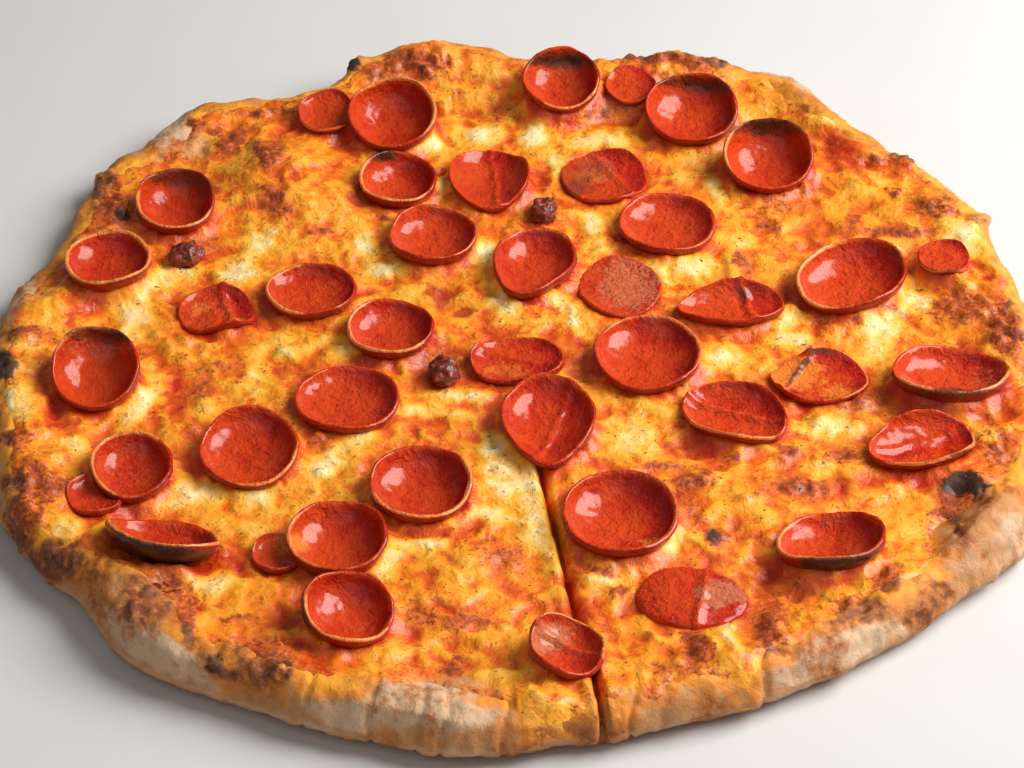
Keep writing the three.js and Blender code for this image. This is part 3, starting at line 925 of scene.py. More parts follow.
# Browned places, on the cheese and on the crust.
TOAST = [
    (-29, -4, 6, 6, 0, 0.7), (-90, 113, 6, 9), (-86, 86, 5, 10, 25), (-104, 120, 4, 12, -20),
    (-92, 139, 12, 3), (-111, 128, 4, 4), (-118, 133, 4, 3), (-146, 88, 5, 17), (-140, 77, 6, 6),
    (-112, 60, 8, 5, 0, 0.7), (-70, 68, 5, 1.6), (-46, 75, 2, 2), (-165, 10, 8, 4),
    (-125, 112, 5, 3, 0, 0.7), (50, 175, 14, 4), (70, 171, 10, 4), (49, 164, 9, 3, 10, 0.8),
    (38, 145, 7, 6, 0, 0.8), (29, 138, 5, 4), (92, 84, 12, 9, 0, 0.5), (104, 91, 5, 4, 0, 0.8),
    (133, 91, 2.5, 2.5), (86, 70, 6, 4, 0, 0.7), (147, 83, 6, 5, 0, 0.8), (150, 77, 10, 2.5, 0, 0.8),
    (140, 112, 6, 4), (130, 111, 8, 3), (130, 67, 16, 3.5), (116, 75, 3, 6, 0, 0.7),
    (150, 25, 13, 9, 0, 0.85), (163, 12, 6, 14), (143, 60, 2, 2), (126, 24, 2.4, 2.4), (113, 18, 3, 3),
    (103, 16, 3, 5, 0, 0.7), (76, 50, 2, 8, 15), (95, 4, 4, 2), (83, 15, 2, 2), (-40, 172, 14, 8),
    (-55, 165, 5, 6), (-36, 165, 3, 7), (-162, -42, 6, 4), (-155, -62, 9, 9, 0, 0.9), (-145, -66, 6, 5),
    (-155, -85, 5, 16), (-142, -99, 9, 10), (-112, -118, 11, 13, 0, 0.8), (-99, -127, 2.2, 12, 5),
    (-85, -124, 5, 2), (-78, -149, 10, 6, 0, 0.8), (-15, -126, 12, 4, 0, 0.7), (-30, -122, 5, 4, 0, 0.6),
    (-20, -145, 4, 3), (-6, -98, 8, 6, 0, 0.6), (-62, -44, 4, 5, 0, 0.7), (-104, -20, 6, 3, 30, 0.6),
    (55, -63, 6, 5), (85, -49, 3.4, 3.4), (68, -52, 3, 2.5), (103, -52, 5, 3), (90, -66, 9, 5),
    (60, -89, 3.4, 4.4), (46, -56, 7, 2), (107, -23, 11, 5, 0, 0.8), (24, -104, 7, 3, 0, 0.9),
    (30, -112, 4, 3, 0, 0.7), (104, -121, 10, 6, 0, 0.85), (112, -108, 4, 9, -10, 0.9),
    (52, -137, 4, 9, 0, 0.95), (44, -146, 6, 5, 0, 0.6), (75, -130, 5, 11, 0, 0.95),
    (120, -124, 5, 7, 0, 0.7), (152, -45, 4, 12), (134, -76, 4, 8), (53, -76, 3, 10, 0, 0.6),
    (140, -68, 10, 7), (75, -68, 8, 2, 40, 0.6), (-97, -5, 7, 2, 30, 0.6), (-104, -12, 2, 7, 0, 0.6),
    (-91, -10, 2, 6, 0, 0.5), (-8, 138, 4, 9, 0, 0.5), (-80, -142, 15, 9, 0, 0.75),
    (135, -84, 1.8, 9, 15, 0.9), (126, -114, 6, 7, 0, 0.8), (-22, 152, 3, 3, 0, 0.6),
    (10, -118, 4, 3, 0, 0.5), (95, -128, 6, 4, 0, 0.6), (20, 150, 4, 12, 0, 0.3),
]  # fmt: skip
# Spots burnt black.
CHAR = [
    (-63, 171, 4, 5), (-171, -6, 5, 9, 0, 0.9), (-90, -143, 4, 6, 0, 0.65), (-70, -144, 4, 8, 10, 0.65),
    (-140, 76, 4, 4, 0, 0.8), (-149, 92, 2, 10, 0, 0.6), (141, 113, 3, 3, 0, 0.55), (161, 73, 3, 3, 0, 0.6),
    (146, 82, 4, 3, 0, 0.6), (70, 171, 7, 3, 0, 0.6), (140, -65, 9, 6), (60, -89, 2.4, 3.2, 0, 0.9),
    (-157, -66, 3, 7, 0, 0.6), (-143, -100, 5, 6, 0, 0.5), (-37, 166, 2, 6, 0, 0.8),
    (166, 10, 3, 9, 0, 0.6), (55, -63, 3, 3, 0, 0.5), (-24, -9, 3, 5, 0, 0.6), (95, 5, 3, 1.5, 0, 0.8),
    (86, -48, 2, 2, 0, 0.6), (113, -106, 3, 5, 0, 0.5), (75, -129, 3, 5, 0, 0.4), (90, -66, 4, 3, 0, 0.5),
    (-160, -80, 2, 10, 0, 0.6), (-103, 118, 2, 6, 0, 0.3), (-92, 114, 3, 4, 0, 0.3),
]  # fmt: skip
# Bubbles that stand out of the rim.
BUBBLES = [
    (-62, 171, 6, 7), (140, 112, 5, 5), (161, 73, 4, 4), (140, -64, 9, 5),
]  # fmt: skip
# Floury crust.
FLOUR = [
    (-130, 128, 11, 26, 45), (135, 128, 6, 22, 42, 0.9), (-170, 32, 6, 14, -10), (104, 161, 30, 7, -33),
    (150, 95, 18, 4, -60), (-110, -135, 26, 7, -42), (-24, -159, 20, 13), (95, -138, 22, 8, 32),
    (156, -92, 6, 16, 15), (-164, -50, 4, 10), (140, -96, 12, 12, 0, 0.55), (158, 62, 4, 14, 0, 0.9),
    (-50, -165, 14, 6, -15, 0.8),
]  # fmt: skip
# Cheese and oil that ran over the crust.
DRIPS = [
    (-83, -147, 6, 9), (-54, -150, 11, 9), (4, -157, 19, 6), (19, -160, 7, 8), (42, -147, 12, 9, 0, 0.7),
    (65, -143, 7, 13, 10), (44, -143, 3, 12, 0, 0.9), (118, -95, 14, 14, 0, 0.9), (-150, -78, 7, 9, 0, 0.8),
    (-140, -95, 5, 9, 0, 0.8), (-30, -142, 20, 5, 0, 0.8), (150, 25, 12, 20, 0, 0.7),
    (-158, 15, 8, 20, 0, 0.6), (30, 172, 30, 8, 0, 0.8), (-20, 172, 14, 8, 0, 0.8),
    (82, -120, 12, 8, 0, 0.6), (120, 118, 24, 10, -35, 0.7),
]  # fmt: skip
# Where the cheese runs further out over the rim or stops short: the way in degrees, half its
# spread and the distance in millimetres.
RUNS = [
    (-87.5, 3.5, 8), (-66, 2.6, 9), (-77, 2.0, 4), (-106, 3.5, 6), (-43, 3, 6), (-151, 3, 5), (-126, 3, 5),
    (-33, 5, -5), (-133.5, 5, -5), (-98, 4, -3), (60, 6, 4), (175, 5, 4), (100, 5, 4), (15, 6, 3),
    (135, 8, -3), (-60, 2, 4),
]  # fmt: skip
# Creases down the front of the rim: x and width.
FRONT_CREASES = [
    (-29, 0.9), (-22, 0.7), (-4, 0.8), (-43, 0.8), (-62, 0.7), (33, 0.7), (71, 1.0),
]  # fmt: skip
# Stretches of rim that the cheese left bare.
CRUSTY = [
    (142, -92, 15, 18), (-25, -160, 22, 12), (44, -158, 18, 6, 5, 0.6), (-112, -138, 26, 8, -42),
    (98, -137, 22, 9, 32), (-129, 129, 10, 26, 45, 0.9), (110, 157, 20, 5, -35, 0.8),
    (74, -150, 12, 7, 10, 0.6), (-112, -117, 12, 12, 0, 0.5), (-170, 32, 6, 13, -10, 0.9),
]  # fmt: skip
# Singed parts of slices.
BURNT_SLICE = [
    (16, 173, 14, 5, 0, 0.85), (68, 157, 16, 5, -10, 0.8), (91, 131, 15, 7, -5, 0.85), (-50, 113, 7, 4),
    (-121, 99, 16, 6, 0, 0.6), (-111, 90, 4, 8, 0, 0.4), (-140, 11, 14, 4, 0, 0.6), (-133, 9, 6, 4, 0, 0.7),
    (146, -50, 8, 2.5, 0, 0.8), (96, 2, 8, 2, 0, 0.6), (92, -8, 1.2, 9, -30, 0.8), (19, 92, 7, 6, 0, 0.45),
    (24, 103, 10, 8, 0, 0.35), (140, -20, 18, 2.5, 0, 0.7), (8, -124, 6, 2, 0, 0.3),
    (131, 55, 4, 8, 0, 0.4), (12, 60, 6, 8, 0, 0.25), (148, 42, 4, 5, 0, 0.4), (76, 33, 4, 5, 0, 0.5),
    (-143, -80, 10, 1.5, 0, 0.5),
]  # fmt: skip
# Slices whose wall stands clear of the cheese; there their lower face is painted dark as shade.
BARE_WALL = [
    (-111, -97, 23, 7, -19), (-66, -121, 4.5, 14, -8), (98, -99, 14, 5, 12),
]  # fmt: skip
# Slices whose pale edge shows on one side: the way it faces and half its spread, both in degrees,
# and its strength.
LIGHT_RIM_ELSEWHERE = (-100, 70, 0.75)
LIGHT_RIM = {
    "01": (-60, 45, 1.0), "02": (50, 95, 1.0), "03": (100, 30, 0.5), "04": (150, 60, 1.0),
    "05": (-135, 95, 1.0), "06": (-90, 60, 0.3), "07": (-90, 60, 0.2), "08": (-110, 80, 0.9),
    "09": (0, 90, 0.6), "10": (20, 80, 0.7), "11": (90, 60, 0.7), "12": (-90, 180, 1.0),
    "13": (170, 80, 1.0), "14": (180, 80, 1.0), "15": (0, 10, 0.0), "16": (-90, 60, 0.5),
    "17": (-60, 60, 0.6), "18": (-135, 90, 1.0), "19": (60, 90, 0.8), "20": (-90, 60, 0.3),
    "21": (120, 60, 0.8), "22": (90, 60, 0.3), "23": (20, 90, 0.6), "24": (-100, 60, 0.9),
    "25": (60, 120, 0.9), "26": (-90, 80, 1.0), "27": (-60, 80, 1.0), "28": (-60, 60, 0.9),
    "29": (160, 110, 1.0), "30": (-60, 110, 0.9), "31": (-160, 60, 0.8), "32": (10, 70, 0.7),
    "33": (-150, 80, 1.0), "34": (-90, 110, 1.0), "35": (-110, 80, 1.0), "36": (180, 10, 0.3),
    "37": (60, 90, 0.9),
}  # fmt: skip
# Amber fat on slices.
AMBER_SLICE = [
    (90, -10, 9, 9), (104, -20, 8, 4, 0, 0.7), (-108, 24, 4, 4, 0, 0.5), (-95, 17, 3, 2, 0, 0.9),
    (24, 99, 6, 5, 0, 0.7), (60, -45, 12, 4, 0, 0.5), (88, -101, 6, 4, 0, 0.7), (-70, -92, 6, 5, 0, 0.8),
    (40, -92, 4, 3, 0, 0.6), (-5, -8, 8, 4, 0, 0.5),
]  # fmt: skip
# Creased slices: a place on the crease, the way it runs in degrees and its height in millimetres.
# The side to its left is in shade.
CREASES = {
    "17": (77, 23, -80, 1.3), "24": (71, -32, -22, 1.2), "16": (-98, 21, -75, 1.0),
    "25": (92, -8, -120, 0.9), "36": (55, -117, -100, 1.2), "37": (13, -141, 150, 1.5),
    "06": (-9, 94, -85, 0.8), "20": (-6, -2, 165, 0.9), "27": (125, -46, 200, 0.9),
    "07": (34, 98, -60, 0.7), "22": (13, -33, -110, 0.8),
}  # fmt: skip
# Slices that dried to a dull pink.
PINK_SLICE = [
    (38, 38, 13, 18, 0, 0.8), (61, -114, 9, 6), (7, -133, 9, 7), (28, 105, 8, 10, 0, 0.55),
    (-140, 5, 14, 8, 0, 0.55), (90, 130, 10, 6, 0, 0.5), (-125, -55, 10, 16, 0, 0.35),
    (10, 170, 10, 8, 0, 0.4), (-102, 26, 8, 5, 0, 0.4), (155, -12, 7, 6, 0, 0.5), (48, 80, 10, 8, 0, 0.3),
]  # fmt: skip


# ---------------------------------------------------------------- pieces


class Detail(Enum):
    """How finely the pieces are made: the dough's columns, the slices' levels and the cheese's step."""

    FULL = (1080, 3, 1.15)
    QUICK = (540, 2, 2.3)

    def __init__(self, columns: int, levels: int, step: float) -> None:
        """Names the three measures.

        Args:
            columns: columns round the dough's rim.
            levels: how often a slice is subdivided.
            step: width of the cheese's grid, in millimetres.
        """
        self.columns = columns
        self.levels = levels
        self.step = step


def across_cut(points: np.ndarray) -> np.ndarray:
    """Distance of each point from the line of the cut, to its right."""
    apart = points[:, :2] - CUT_START
    return apart[:, 1] * CUT_WAY[0] - apart[:, 0] * CUT_WAY[1]


def along_cut(points: np.ndarray) -> np.ndarray:
    """A share that rises from 0 to 1 just past the cut's start."""
    return smoothstep(-2, 8, (points[:, :2] - CUT_START) @ CUT_WAY)


@dataclass
class Border:
    """The edge of the cheese, as a radius for each angle."""

    cheese: bpy.types.Object
    angle_step: float = 0.5
    farthest: float = 192.0
    nearest: float = 120.0
    step: float = 0.5
    full_flow: float = 7.0
    ragged: float = 3.4
    ragged_size: float = 13.0
    torn: float = 1.2
    torn_size: float = 4.0
    rim_start: float = 125.0
    rim_full: float = 145.0
    turn: np.ndarray = field(init=False)
    radius: np.ndarray = field(init=False)
    flow: np.ndarray = field(init=False)

    def __post_init__(self) -> None:
        """Reads the edge off the cheese's solid and adds the places where it ran."""
        surface = Surface([self.cheese])
        self.turn = np.radians(np.arange(-180, 180, self.angle_step))
        radius = np.full(len(self.turn), np.nan)
        for distance in np.arange(self.farthest, self.nearest, -self.step):
            places = np.column_stack([np.cos(self.turn), np.sin(self.turn)]) * distance
            left = np.isnan(radius)
            met = ~np.isnan(surface.top(places[left]))
            radius[np.flatnonzero(left)[met]] = distance
        self.radius = smoothed(steadied(radius, 3), 4, 0, True)
        self.flow = np.zeros(len(self.turn))
        for way, half, distance in RUNS:
            share = bell(np.degrees(self.turn) - way, half)
            self.radius += distance * share
            self.flow = np.maximum(self.flow, share * np.clip(distance / self.full_flow, 0, 1))

    def read(self, values: np.ndarray, points: np.ndarray) -> np.ndarray:
        """Values kept by angle, read at the angle of each point."""
        return np.interp(np.arctan2(points[:, 1], points[:, 0]), self.turn, values, period=2 * math.pi)

    def inside(self, points: np.ndarray) -> np.ndarray:
        """How far each point lies inside the uneven edge, in millimetres.

        Args:
            points: places in millimetres, one a row.

        Returns:
            One value for each point.
        """
        level = levelled(points[:, :2])
        uneven = self.ragged * grain(level, self.ragged_size, 3, 41)
        uneven = uneven + self.torn * grain(level, self.torn_size, 2, 43)
        return self.read(self.radius, points) - np.hypot(points[:, 0], points[:, 1]) + uneven

    def flowing(self, points: np.ndarray) -> np.ndarray:
        """How far each point lies in a place where the cheese ran out over the rim."""
        out = np.hypot(points[:, 0], points[:, 1])
        return self.read(self.flow, points) * smoothstep(self.rim_start, self.rim_full, out)


@dataclass
class Dough:
    """The base and rim, swept round from rays cast on its solid and roughened as baked dough is."""

    solid: bpy.types.Object
    border: Border
    columns: int = 1080
    fan_rows: int = 52
    floor_rows: int = 9
    crown_row: int = 20
    radius: float = 165.0
    spine_inset: float = 14.0
    spine_height: float = 8.0
    first_way: float = 172.0
    last_way: float = -62.0
    belly_level: float = 9.0
    far: float = 260.0
    facet: float = 5.0
    stray: int = 5
    floor_sink: float = 1.0
    nudge: float = 0.01
    cut_crowding: float = 3.0
    cut_spread: float = 6.0
    cut_samples: int = 20001
    groove_depth: float = 6.0
    groove_width: float = 1.1
    lump: float = 1.5
    lump_size: float = 19.0
    knob: float = 0.6
    knob_size: float = 7.0
    wrinkle: float = 0.4
    wrinkle_size: float = 4.5
    bubble: float = 1.8
    front_crease: float = 1.1
    foot_relief: tuple[float, ...] = (0.7, 0.3, 0.0, 0.0)
    weld: float = 2e-6

    def angles(self) -> np.ndarray:
        """Angle of each column, closer together by the cut; the last meets the first.

        Returns:
            Angles in radians, one more than there are columns.
        """
        end = math.atan2(CUT_END[1], CUT_END[0])
        even = np.linspace(-math.pi, math.pi, self.cut_samples)
        crowd = np.cumsum(1 + self.cut_crowding * bell((even - end) * self.radius, self.cut_spread))
        crowd = (crowd - crowd[0]) / (crowd[-1] - crowd[0])
        return np.interp(np.linspace(0, 1, self.columns + 1), crowd, even)

    def calm(self, readings: np.ndarray) -> np.ndarray:
        """Readings round the rim without strays or the solid's facets."""
        step = 2 * math.pi * self.radius / self.columns
        return smoothed(steadied(readings, self.stray), self.facet / step, 0, True)

    def sweep(self) -> np.ndarray:
        """The smooth rim as rows of columns, from the middle over the crown to the base.

        Returns:
            An array of rows, columns and x, y and z in millimetres.
        """
        surface = Surface([self.solid])
        turn = self.angles()[:-1]
        out = np.column_stack([np.cos(turn), np.sin(turn), np.zeros_like(turn)])
        edge = self.calm(self.far - surface.reach(out * self.far + [0, 0, self.belly_level], -out))
        spine = out * (edge - self.spine_inset)[:, None] + [0, 0, self.spine_height]
        rows = []
        for way in np.radians(np.linspace(self.first_way, self.last_way, self.fan_rows)):
            ways = out * math.cos(way) + [0, 0, math.sin(way)]
            rows.append(spine + ways * self.calm(surface.reach(spine, ways))[:, None])
        inner = np.hypot(rows[0][:, 0], rows[0][:, 1])
        floor = []
        for share in np.linspace(0, 1, self.floor_rows, endpoint=False):
            row = out * (inner * share)[:, None]
            row[:, 2] = steadied(surface.top(row[:, :2] + self.nudge), self.stray) - self.floor_sink
            floor.append(row)
        floor[0][:] = floor[0].mean(axis=0)
        foot = rows[-1].copy()
        foot[:, 2] = 0
        return np.array([*floor, *rows, foot, np.zeros_like(foot)])

    def relief(self, points: np.ndarray, inset: np.ndarray) -> np.ndarray:
        """How far the baked surface stands out of the smooth one, in millimetres.

        Args:
            points: the smooth surface, one place a row.
            inset: how far in from the rim's edge each lies.

        Returns:
            One value for each point.
        """
        places = seen(points)
        wobble = 0.25 * grain(points, 4, 2, 11)
        lumps = self.lump * grain(points, self.lump_size, 2, 3)
        lumps = lumps + self.knob * grain(points, self.knob_size, 2, 5)
        folds = -self.wrinkle * np.abs(grain(points * [1, 1, 0.35], self.wrinkle_size, 2, 7)) * 2
        burnt = cover(CHAR, places, wobble) * (1.4 + 1.8 * grain(points, 3.2, 2, 9))
        toasted = cover(TOAST, places, wobble) * 1.9 * grain(points, 4, 2, 13)
        raised = self.bubble * cover(BUBBLES, places, wobble, 0.8)
        creases = np.zeros(len(points))
        front = smoothstep(-138, -148, places[:, 1])
        for at, width in FRONT_CREASES:
            apart = places[:, 0] - at - 1.2 * np.sin(places[:, 1] / 6 + at)
            creases -= self.front_crease * front * bell(apart, width)
        return (lumps + folds + (burnt + toasted) + raised + creases) * smoothstep(27, 17, inset)

    def groove(self, points: np.ndarray) -> np.ndarray:
        """Depth of the cut at each point."""
        return self.groove_depth * bell(across_cut(points), self.groove_width) * along_cut(points)

    def facing(self, rows: np.ndarray) -> np.ndarray:
        """The way that each place of the swept rows faces, one a row.

        Args:
            rows: what sweep gives, with the first column added at its end.

        Returns:
            Unit vectors.
        """
        ways = np.cross(np.gradient(rows, axis=1), np.gradient(rows, axis=0))
        ways /= np.maximum(np.linalg.norm(ways, axis=2, keepdims=True), 1e-9)
        if ways[self.floor_rows + self.crown_row, 0, 2] < 0:
            ways = -ways
        ways[:, -1] = ways[:, 0]
        return ways.reshape(-1, 3)

    def build(self) -> bpy.types.Object:
        """Shapes, tints and dresses the piece.

        Returns:
            The finished piece.
        """
        rows = self.sweep()
        rows = np.concatenate([rows, rows[:, :1]], axis=1)
        facing = self.facing(rows)
        reach = np.hypot(rows[..., 0], rows[..., 1])
        inset = (reach.max(axis=0)[None] - reach).ravel()
        above = np.ones(rows.shape[:2])
        above[-len(self.foot_relief) :] = np.array(self.foot_relief)[:, None]
        above = above.ravel()
        flat = rows.reshape(-1, 3)
        flat = flat + facing * (self.relief(flat, inset) * above)[:, None]
        shut = smoothstep(34, 16, inset) * smoothstep(0.2, 3, flat[:, 2]) * above
        flat = flat - facing * (self.groove(flat) * shut)[:, None]
        flat[:, 2] = np.maximum(flat[:, 2], 0)
        item, spots = add_sheet("baked_dough", rows.shape[1], rows.shape[0])
        write_points(item, flat.reshape(rows.shape)[spots[:, 1], spots[:, 0]])
        with editing(item):
            bpy.ops.mesh.select_all(action="SELECT")
            bpy.ops.mesh.remove_doubles(threshold=self.weld)
            bpy.ops.mesh.normals_make_consistent(inside=False)
        bpy.ops.object.shade_smooth()
        self.tint(item)
        finish_piece(item, CrustFinish().material(), "dough", "dough")
        return item

    def tint(self, item: bpy.types.Object) -> None:
        """Stores brown, char, flour and cheese stain at each vertex; the brown is deepened near the floor
        as painted shade.

        Args:
            item: the shaped dough.
        """
        points = read_points(item)
        places = seen(points)
        wobble = 0.35 * grain(points, 6, 3, 21)
        up = read_normals(item)[:, 2]
        drift = grain(points, 15, 2, 23)
        brown = np.maximum(cover(TOAST, places, wobble), 0.3 + 0.45 * drift)
        # Painted shade: the rim is browned towards its foot, where it meets the floor.
        brown = np.maximum(brown, 0.55 * smoothstep(5, 1, points[:, 2]))
        char = cover(CHAR, places, wobble)
        side = 0.6 * (1 - smoothstep(-0.2, 0.9, up)) * smoothstep(2, 6, points[:, 2])
        flour = np.maximum(cover(FLOUR, places, wobble), side)
        run = 3.5 * drift + 6 * grain(points, 8, 2, 27)
        stain = smoothstep(-14, -1, self.border.inside(points) + run) * smoothstep(0.0, 0.7, up)
        bare = 1 - 0.8 * cover(CRUSTY, places, wobble)
        stain = np.maximum(stain * bare, cover(DRIPS, places, wobble, 0.6))
        write_tint(item, "tint_a", [brown, char, flour, stain])


@dataclass
class Cheese:
    """The molten layer: a fine sheet laid over the dough, sunk under every slice."""

    border: Border
    bed: bpy.types.Object
    crust: bpy.types.Object
    toppings: Sequence[bpy.types.Object]
    step: float = 1.15
    cut_step: float = 0.35
    cut_spread: float = 4.0
    reach: float = 192.0
    margin: float = 50.0
    middle_thickness: float = 4.3
    edge_thickness: float = 1.7
    edge_round: float = 3.5
    taper: float = 24.0
    hem: float = 4.0
    hem_slope: float = 0.7
    hem_fold: float = 0.86
    bottom: float = 4.6
    outside: float = 8.0
    bed_blur: float = 4.0
    sky: float = 90.0
    tuck: float = 0.7
    climb: float = 6.8
    climb_share: float = 1.65
    climb_blur: float = 2.0
    shade_gap: float = 9.0
    near_blur: float = 1.5
    wide_blur: float = 3.6
    blisters: int = 620
    blister_reach: float = 168.0
    blister_least: float = 1.3
    blister_most: float = 3.4
    blister_height: float = 0.42
    seed: int = 7

    def lines(self, fine: bool) -> np.ndarray:
        """Places of grid lines across the sheet, closer together by the cut where asked.

        Args:
            fine: whether the lines crowd by the cut.

        Returns:
            Distances from the cut's start.
        """
        half = [0.0]
        while half[-1] < self.reach + self.margin:
            near = float(bell(half[-1], self.cut_spread)) if fine else 0.0
            half.append(half[-1] + self.step - (self.step - self.cut_step) * near)
        return np.array([-v for v in half[:0:-1]] + half)

    def grid(self) -> tuple[np.ndarray, tuple[int, int]]:
        """Places of the sheet's points, on lines across and along the cut, and the grid's shape.

        Returns:
            X and y, one place a row, and how many rows and columns the places form.
        """
        axes = np.array([[-CUT_WAY[1], CUT_WAY[0]], CUT_WAY])
        lines = []
        for axis, fine in zip(axes, (True, False)):
            line = self.lines(fine)
            lines.append(line[np.abs(line + CUT_START @ axis) < self.reach])
        across, along = np.meshgrid(*lines)
        places = CUT_START + np.stack([across.ravel(), along.ravel()], axis=1) @ axes
        return places, across.shape

    def blurred(self, values: np.ndarray, shape: tuple[int, int], width: float) -> np.ndarray:
        """Values on the grid blurred both ways, the width given in millimetres."""
        return evened(values.reshape(shape), width / self.step).ravel()

    def bridged(self, heights: np.ndarray) -> np.ndarray:
        """A grid of readings with the cut and the outside filled in.

        Args:
            heights: readings on the grid, nan where there is none.

        Returns:
            The filled grid.
        """
        filled = heights.copy()
        for row in filled:
            good = ~np.isnan(row)
            if good.sum() > 1:
                row[~good] = np.interp(np.flatnonzero(~good), np.flatnonzero(good), row[good])
        return np.where(np.isnan(filled), self.outside, filled)

    def ground(self, flat: np.ndarray, shape: tuple[int, int], inside: np.ndarray) -> np.ndarray:
        """Height of what the sheet lies on, or nan outside it.

        Args:
            flat: x and y of each point of the grid.
            shape: the grid's shape.
            inside: how far each point lies inside the cheese's edge.

        Returns:
            The dough's solid well inside, and the baked rim near the edge.
        """
        wanted = inside > -self.hem - 2
        rim = read_where(Surface([self.crust]).top, flat, wanted)
        bed = read_where(Surface([self.bed]).top, flat, wanted)
        bed = evened(self.bridged(bed.reshape(shape)), self.bed_blur).ravel()
        deep = smoothstep(16, 24, inside)
        return np.where(deep > 0, bed * deep + np.nan_to_num(rim, nan=0) * (1 - deep), rim)

    def thickness(self, inside: np.ndarray) -> np.ndarray:
        """Thickness of the layer, rounded off at its edge.

        Args:
            inside: how far each point lies inside the cheese's edge.

        Returns:
            One value for each point.
        """
        edge = self.edge_thickness * (1 - np.exp(-np.maximum(inside, 0) / self.edge_round))
        thick = np.where(inside > 0, edge, inside * self.hem_slope)
        return thick + (self.middle_thickness - self.edge_thickness) * smoothstep(0, self.taper, inside)

    def rise(self, flat: np.ndarray, inside: np.ndarray, melt: np.ndarray) -> np.ndarray:
        """Bumps and strings of the layer, in millimetres.

        Args:
            flat: x and y of each point.
            inside: how far each lies inside the cheese's edge.
            melt: crests and strings, from about -1 to 1.

        Returns:
            One value for each point.
        """
        points = levelled(flat)
        places = drifted(flat)
        wobble = 0.2 * grain(points, 5, 2, 31)
        soft = smoothstep(1, 12, inside)
        lumps = 0.9 * grain(points, 16, 2, 33) * soft + 1.25 * melt * (0.35 + 0.65 * soft)
        melt_up = 0.6 * cover(PALE, places, wobble, 0.8) + 0.35 * cover(YELLOW, places, wobble, 0.8)
        sunk = -0.9 * cover(SAUCE, places, wobble, 0.8) - 0.35 * cover(OIL, places, wobble, 0.8)
        baked = cover(TOAST, places, wobble, 0.7)
        return lumps + melt_up + sunk + baked * (0.5 + 1.1 * grain(points, 3.6, 2, 39))

    def domes(self, flat: np.ndarray) -> tuple[np.ndarray, np.ndarray]:
        """Small blisters scattered over the layer.

        Args:
            flat: x and y of each point.

        Returns:
            Their height in millimetres and how browned their tops are.
        """
        draw = np.random.default_rng(self.seed)
        height = np.zeros(len(flat))
        brown = np.zeros(len(flat))
        order = np.argsort(flat[:, 0])
        across = flat[order, 0]
        for _ in range(self.blisters):
            turn = draw.uniform(0, 2 * math.pi)
            out = self.blister_reach * math.sqrt(draw.uniform(0, 1))
            middle = np.array([[out * math.cos(turn), out * math.sin(turn)]])
            size = draw.uniform(self.blister_least, self.blister_most)
            tone = draw.uniform(0, 1)
            burnt = cover(TOAST, middle, np.zeros(1))[0]
            if draw.uniform(0, 1) >= 0.45 + burnt:
                continue
            size *= 1 + 0.5 * burnt
            first, last = np.searchsorted(across, [middle[0, 0] - size, middle[0, 0] + size])
            near = order[first:last]
            reach = np.hypot(*(flat[near] - middle).T) / size
            dome = np.clip(1 - reach**2, 0, 1)
            height[near] = np.maximum(height[near], self.blister_height * size * dome**0.8)
            brown[near] = np.maximum(brown[near], dome * (0.35 + 0.65 * burnt) * tone)
        return height, brown

    def parted(self, points: np.ndarray) -> np.ndarray:
        """How far the surface stands up beside the cut and sinks in it, in millimetres.

        Args:
            points: places in millimetres, one a row.

        Returns:
            One value for each point.
        """
        apart = across_cut(points)
        groove = 3.4 * bell(apart, 1.5) + 2.6 * bell(apart, 0.7)
        lip = 1.2 * smoothstep(-7, -1.2, apart) * smoothstep(0.6, -0.6, apart)
        return (lip - groove) * along_cut(points)

    def build(self) -> bpy.types.Object:
        """Shapes, tints and dresses the piece.

        Returns:
            The finished piece.
        """
        flat, shape = self.grid()
        inside = self.border.inside(flat)
        ground = self.ground(flat, shape, inside)
        wanted = ~np.isnan(ground)
        top = ground + self.thickness(inside)
        first = np.column_stack([flat, np.nan_to_num(top, nan=10)])
        places = seen(first)
        melt = melted(levelled(places))
        blister, browned = self.domes(places)
        top = top + (self.rise(places, inside, melt) + blister) * smoothstep(-1, 7, inside)
        under = np.nan_to_num(read_where(Surface(self.toppings).underside, flat, wanted), nan=self.sky)
        gap = under - np.nan_to_num(top, nan=0)
        bare = cover(BARE_WALL, places, np.zeros(len(places)), 0.3)
        lift = np.where(under < self.sky, np.clip(gap, 0, self.climb), 0) * (1 - bare)
        top = top + self.climb_share * self.blurred(lift, shape, self.climb_blur)
        top = top + self.parted(first) * smoothstep(-1, 5, inside)
        top = np.minimum(top, under + self.tuck)
        # Cheese under or close below a topping is marked shaded; the mark becomes oil and painted shadow
        # round the slices.
        shaded = (gap < self.shade_gap).astype(float)
        near = self.blurred(shaded, shape, self.near_blur)
        wide = self.blurred(shaded, shape, self.wide_blur)
        item, spots = add_sheet("melted_cheese", shape[1], shape[0])
        index = spots[:, 1] * shape[1] + spots[:, 0]
        points = np.nan_to_num(np.column_stack([flat, top]), nan=0)[index]
        write_points(item, points)
        self.tint(item, points, inside[index], near[index], wide[index], browned[index], melt[index])
        self.close(item, ~(wanted & (inside > -self.hem))[index])
        finish_piece(item, CheeseFinish().material(), "cheese", "cheese")
        return item

